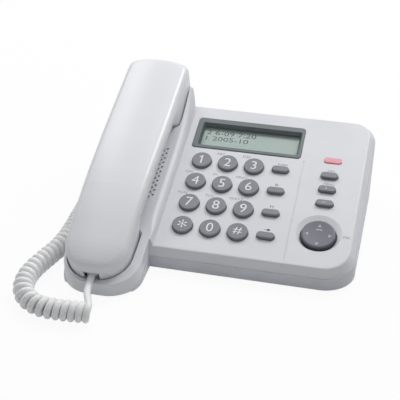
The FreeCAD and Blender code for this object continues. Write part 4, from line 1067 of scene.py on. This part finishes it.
@dataclass
class Navigator:
    """Arrowheads and a small open book on the dished four-way key, in millimetres.

    The marks stand round a place that is shifted down the slope from the key's middle.
    """

    u: float = 62.3
    v: float = -23.3
    shift: float = -0.8
    top: float = 2.0
    dish_radius: float = 100.0
    dish_depth: float = 0.5
    lift: float = 0.03
    ring: float = 7.4
    arrow_mm: float = 2.7
    book_ring: float = 4.4
    leaf_mm: Pair = (2.2, 1.0)
    leaf_out: float = 1.05
    leaf_tilt: float = 16.0

    def place(self, ring: float, turn: float) -> Matrix:
        """Finds a place on the dished top, with y pointing outward.

        Args:
            ring: Distance from the middle of the marks, in millimetres.
            turn: Angle round it from the upper side, in degrees.

        Returns:
            The place in the frame of the part.
        """
        turned = Matrix.Rotation(math.radians(turn), 4, "Z")
        spot = turned @ Vector((0, ring, 0)) + Vector((0, self.shift, 0))
        sink = self.dish_depth - spot.length_squared / (2 * self.dish_radius)
        lean_back = Matrix.Rotation(spot.y / self.dish_radius, 4, "X")
        lean_side = Matrix.Rotation(-spot.x / self.dish_radius, 4, "Y")
        seat = on_deck(self.u + spot.x, self.v + spot.y, self.top - sink + self.lift)
        return seat @ lean_back @ lean_side @ turned

    def build(self, printer: Printer) -> None:
        """Prints four arrowheads and the small book mark under the upper one.

        Args:
            printer: The printing tool.
        """
        for name, turn in (("up", 0.0), ("left", 90.0), ("down", 180.0), ("right", 270.0)):
            arrow = printer.arrow(f"arrow_{name}", self.arrow_mm, self.place(self.ring, turn), Ink.PALE)
            attach(arrow, Body.NAVIGATOR.value)
        for name, side in (("left", -1), ("right", 1)):
            tilt = Matrix.Rotation(math.radians(-side * self.leaf_tilt), 4, "Z")
            page = Matrix.Translation((side * self.leaf_out * MM, 0, 0)) @ tilt
            spot = self.place(self.book_ring, 0.0) @ page
            leaf = printer.bar(f"book_{name}", self.leaf_mm, spot, Ink.PALE)
            attach(leaf, Body.NAVIGATOR.value)
        LOG.info("navigator printed")


@dataclass
class Display:
    """Two lines of driven figures on the liquid-crystal panel, each with its text, u and v."""

    lines: tuple[tuple[str, float, float], ...] = (
        ("2 6-09 7:20", -13.4, 63.2), ("1 2005-10", -15.7, 57.2))
    cap: float = 4.3
    width: float = 1.32
    face: float = -3.6

    def build(self, printer: Printer) -> None:
        """Prints the two lines under the window.

        Args:
            printer: The printing tool.
        """
        for number, (text, u, v) in enumerate(self.lines, 1):
            line = printer.word(f"display_line_{number}", text, self.cap, on_deck(u, v, self.face),
                                Ink.SEGMENTS, self.width)
            attach(line, Body.BASE.value)
        LOG.info("display printed")


def main() -> None:
    """Builds the scene in order."""
    logging.basicConfig(level=logging.INFO, format="%(name)s: %(message)s")
    deselect()
    palette = Palette()
    palette.mix()
    palette.dress_frame()
    Studio().build()
    CurlyCord().build(palette)
    printer = Printer(palette.inks)
    KeyPad().build(printer)
    Legends().build(printer)
    Navigator().build(printer)
    Display().build(printer)


if __name__ == "__main__":
    main()
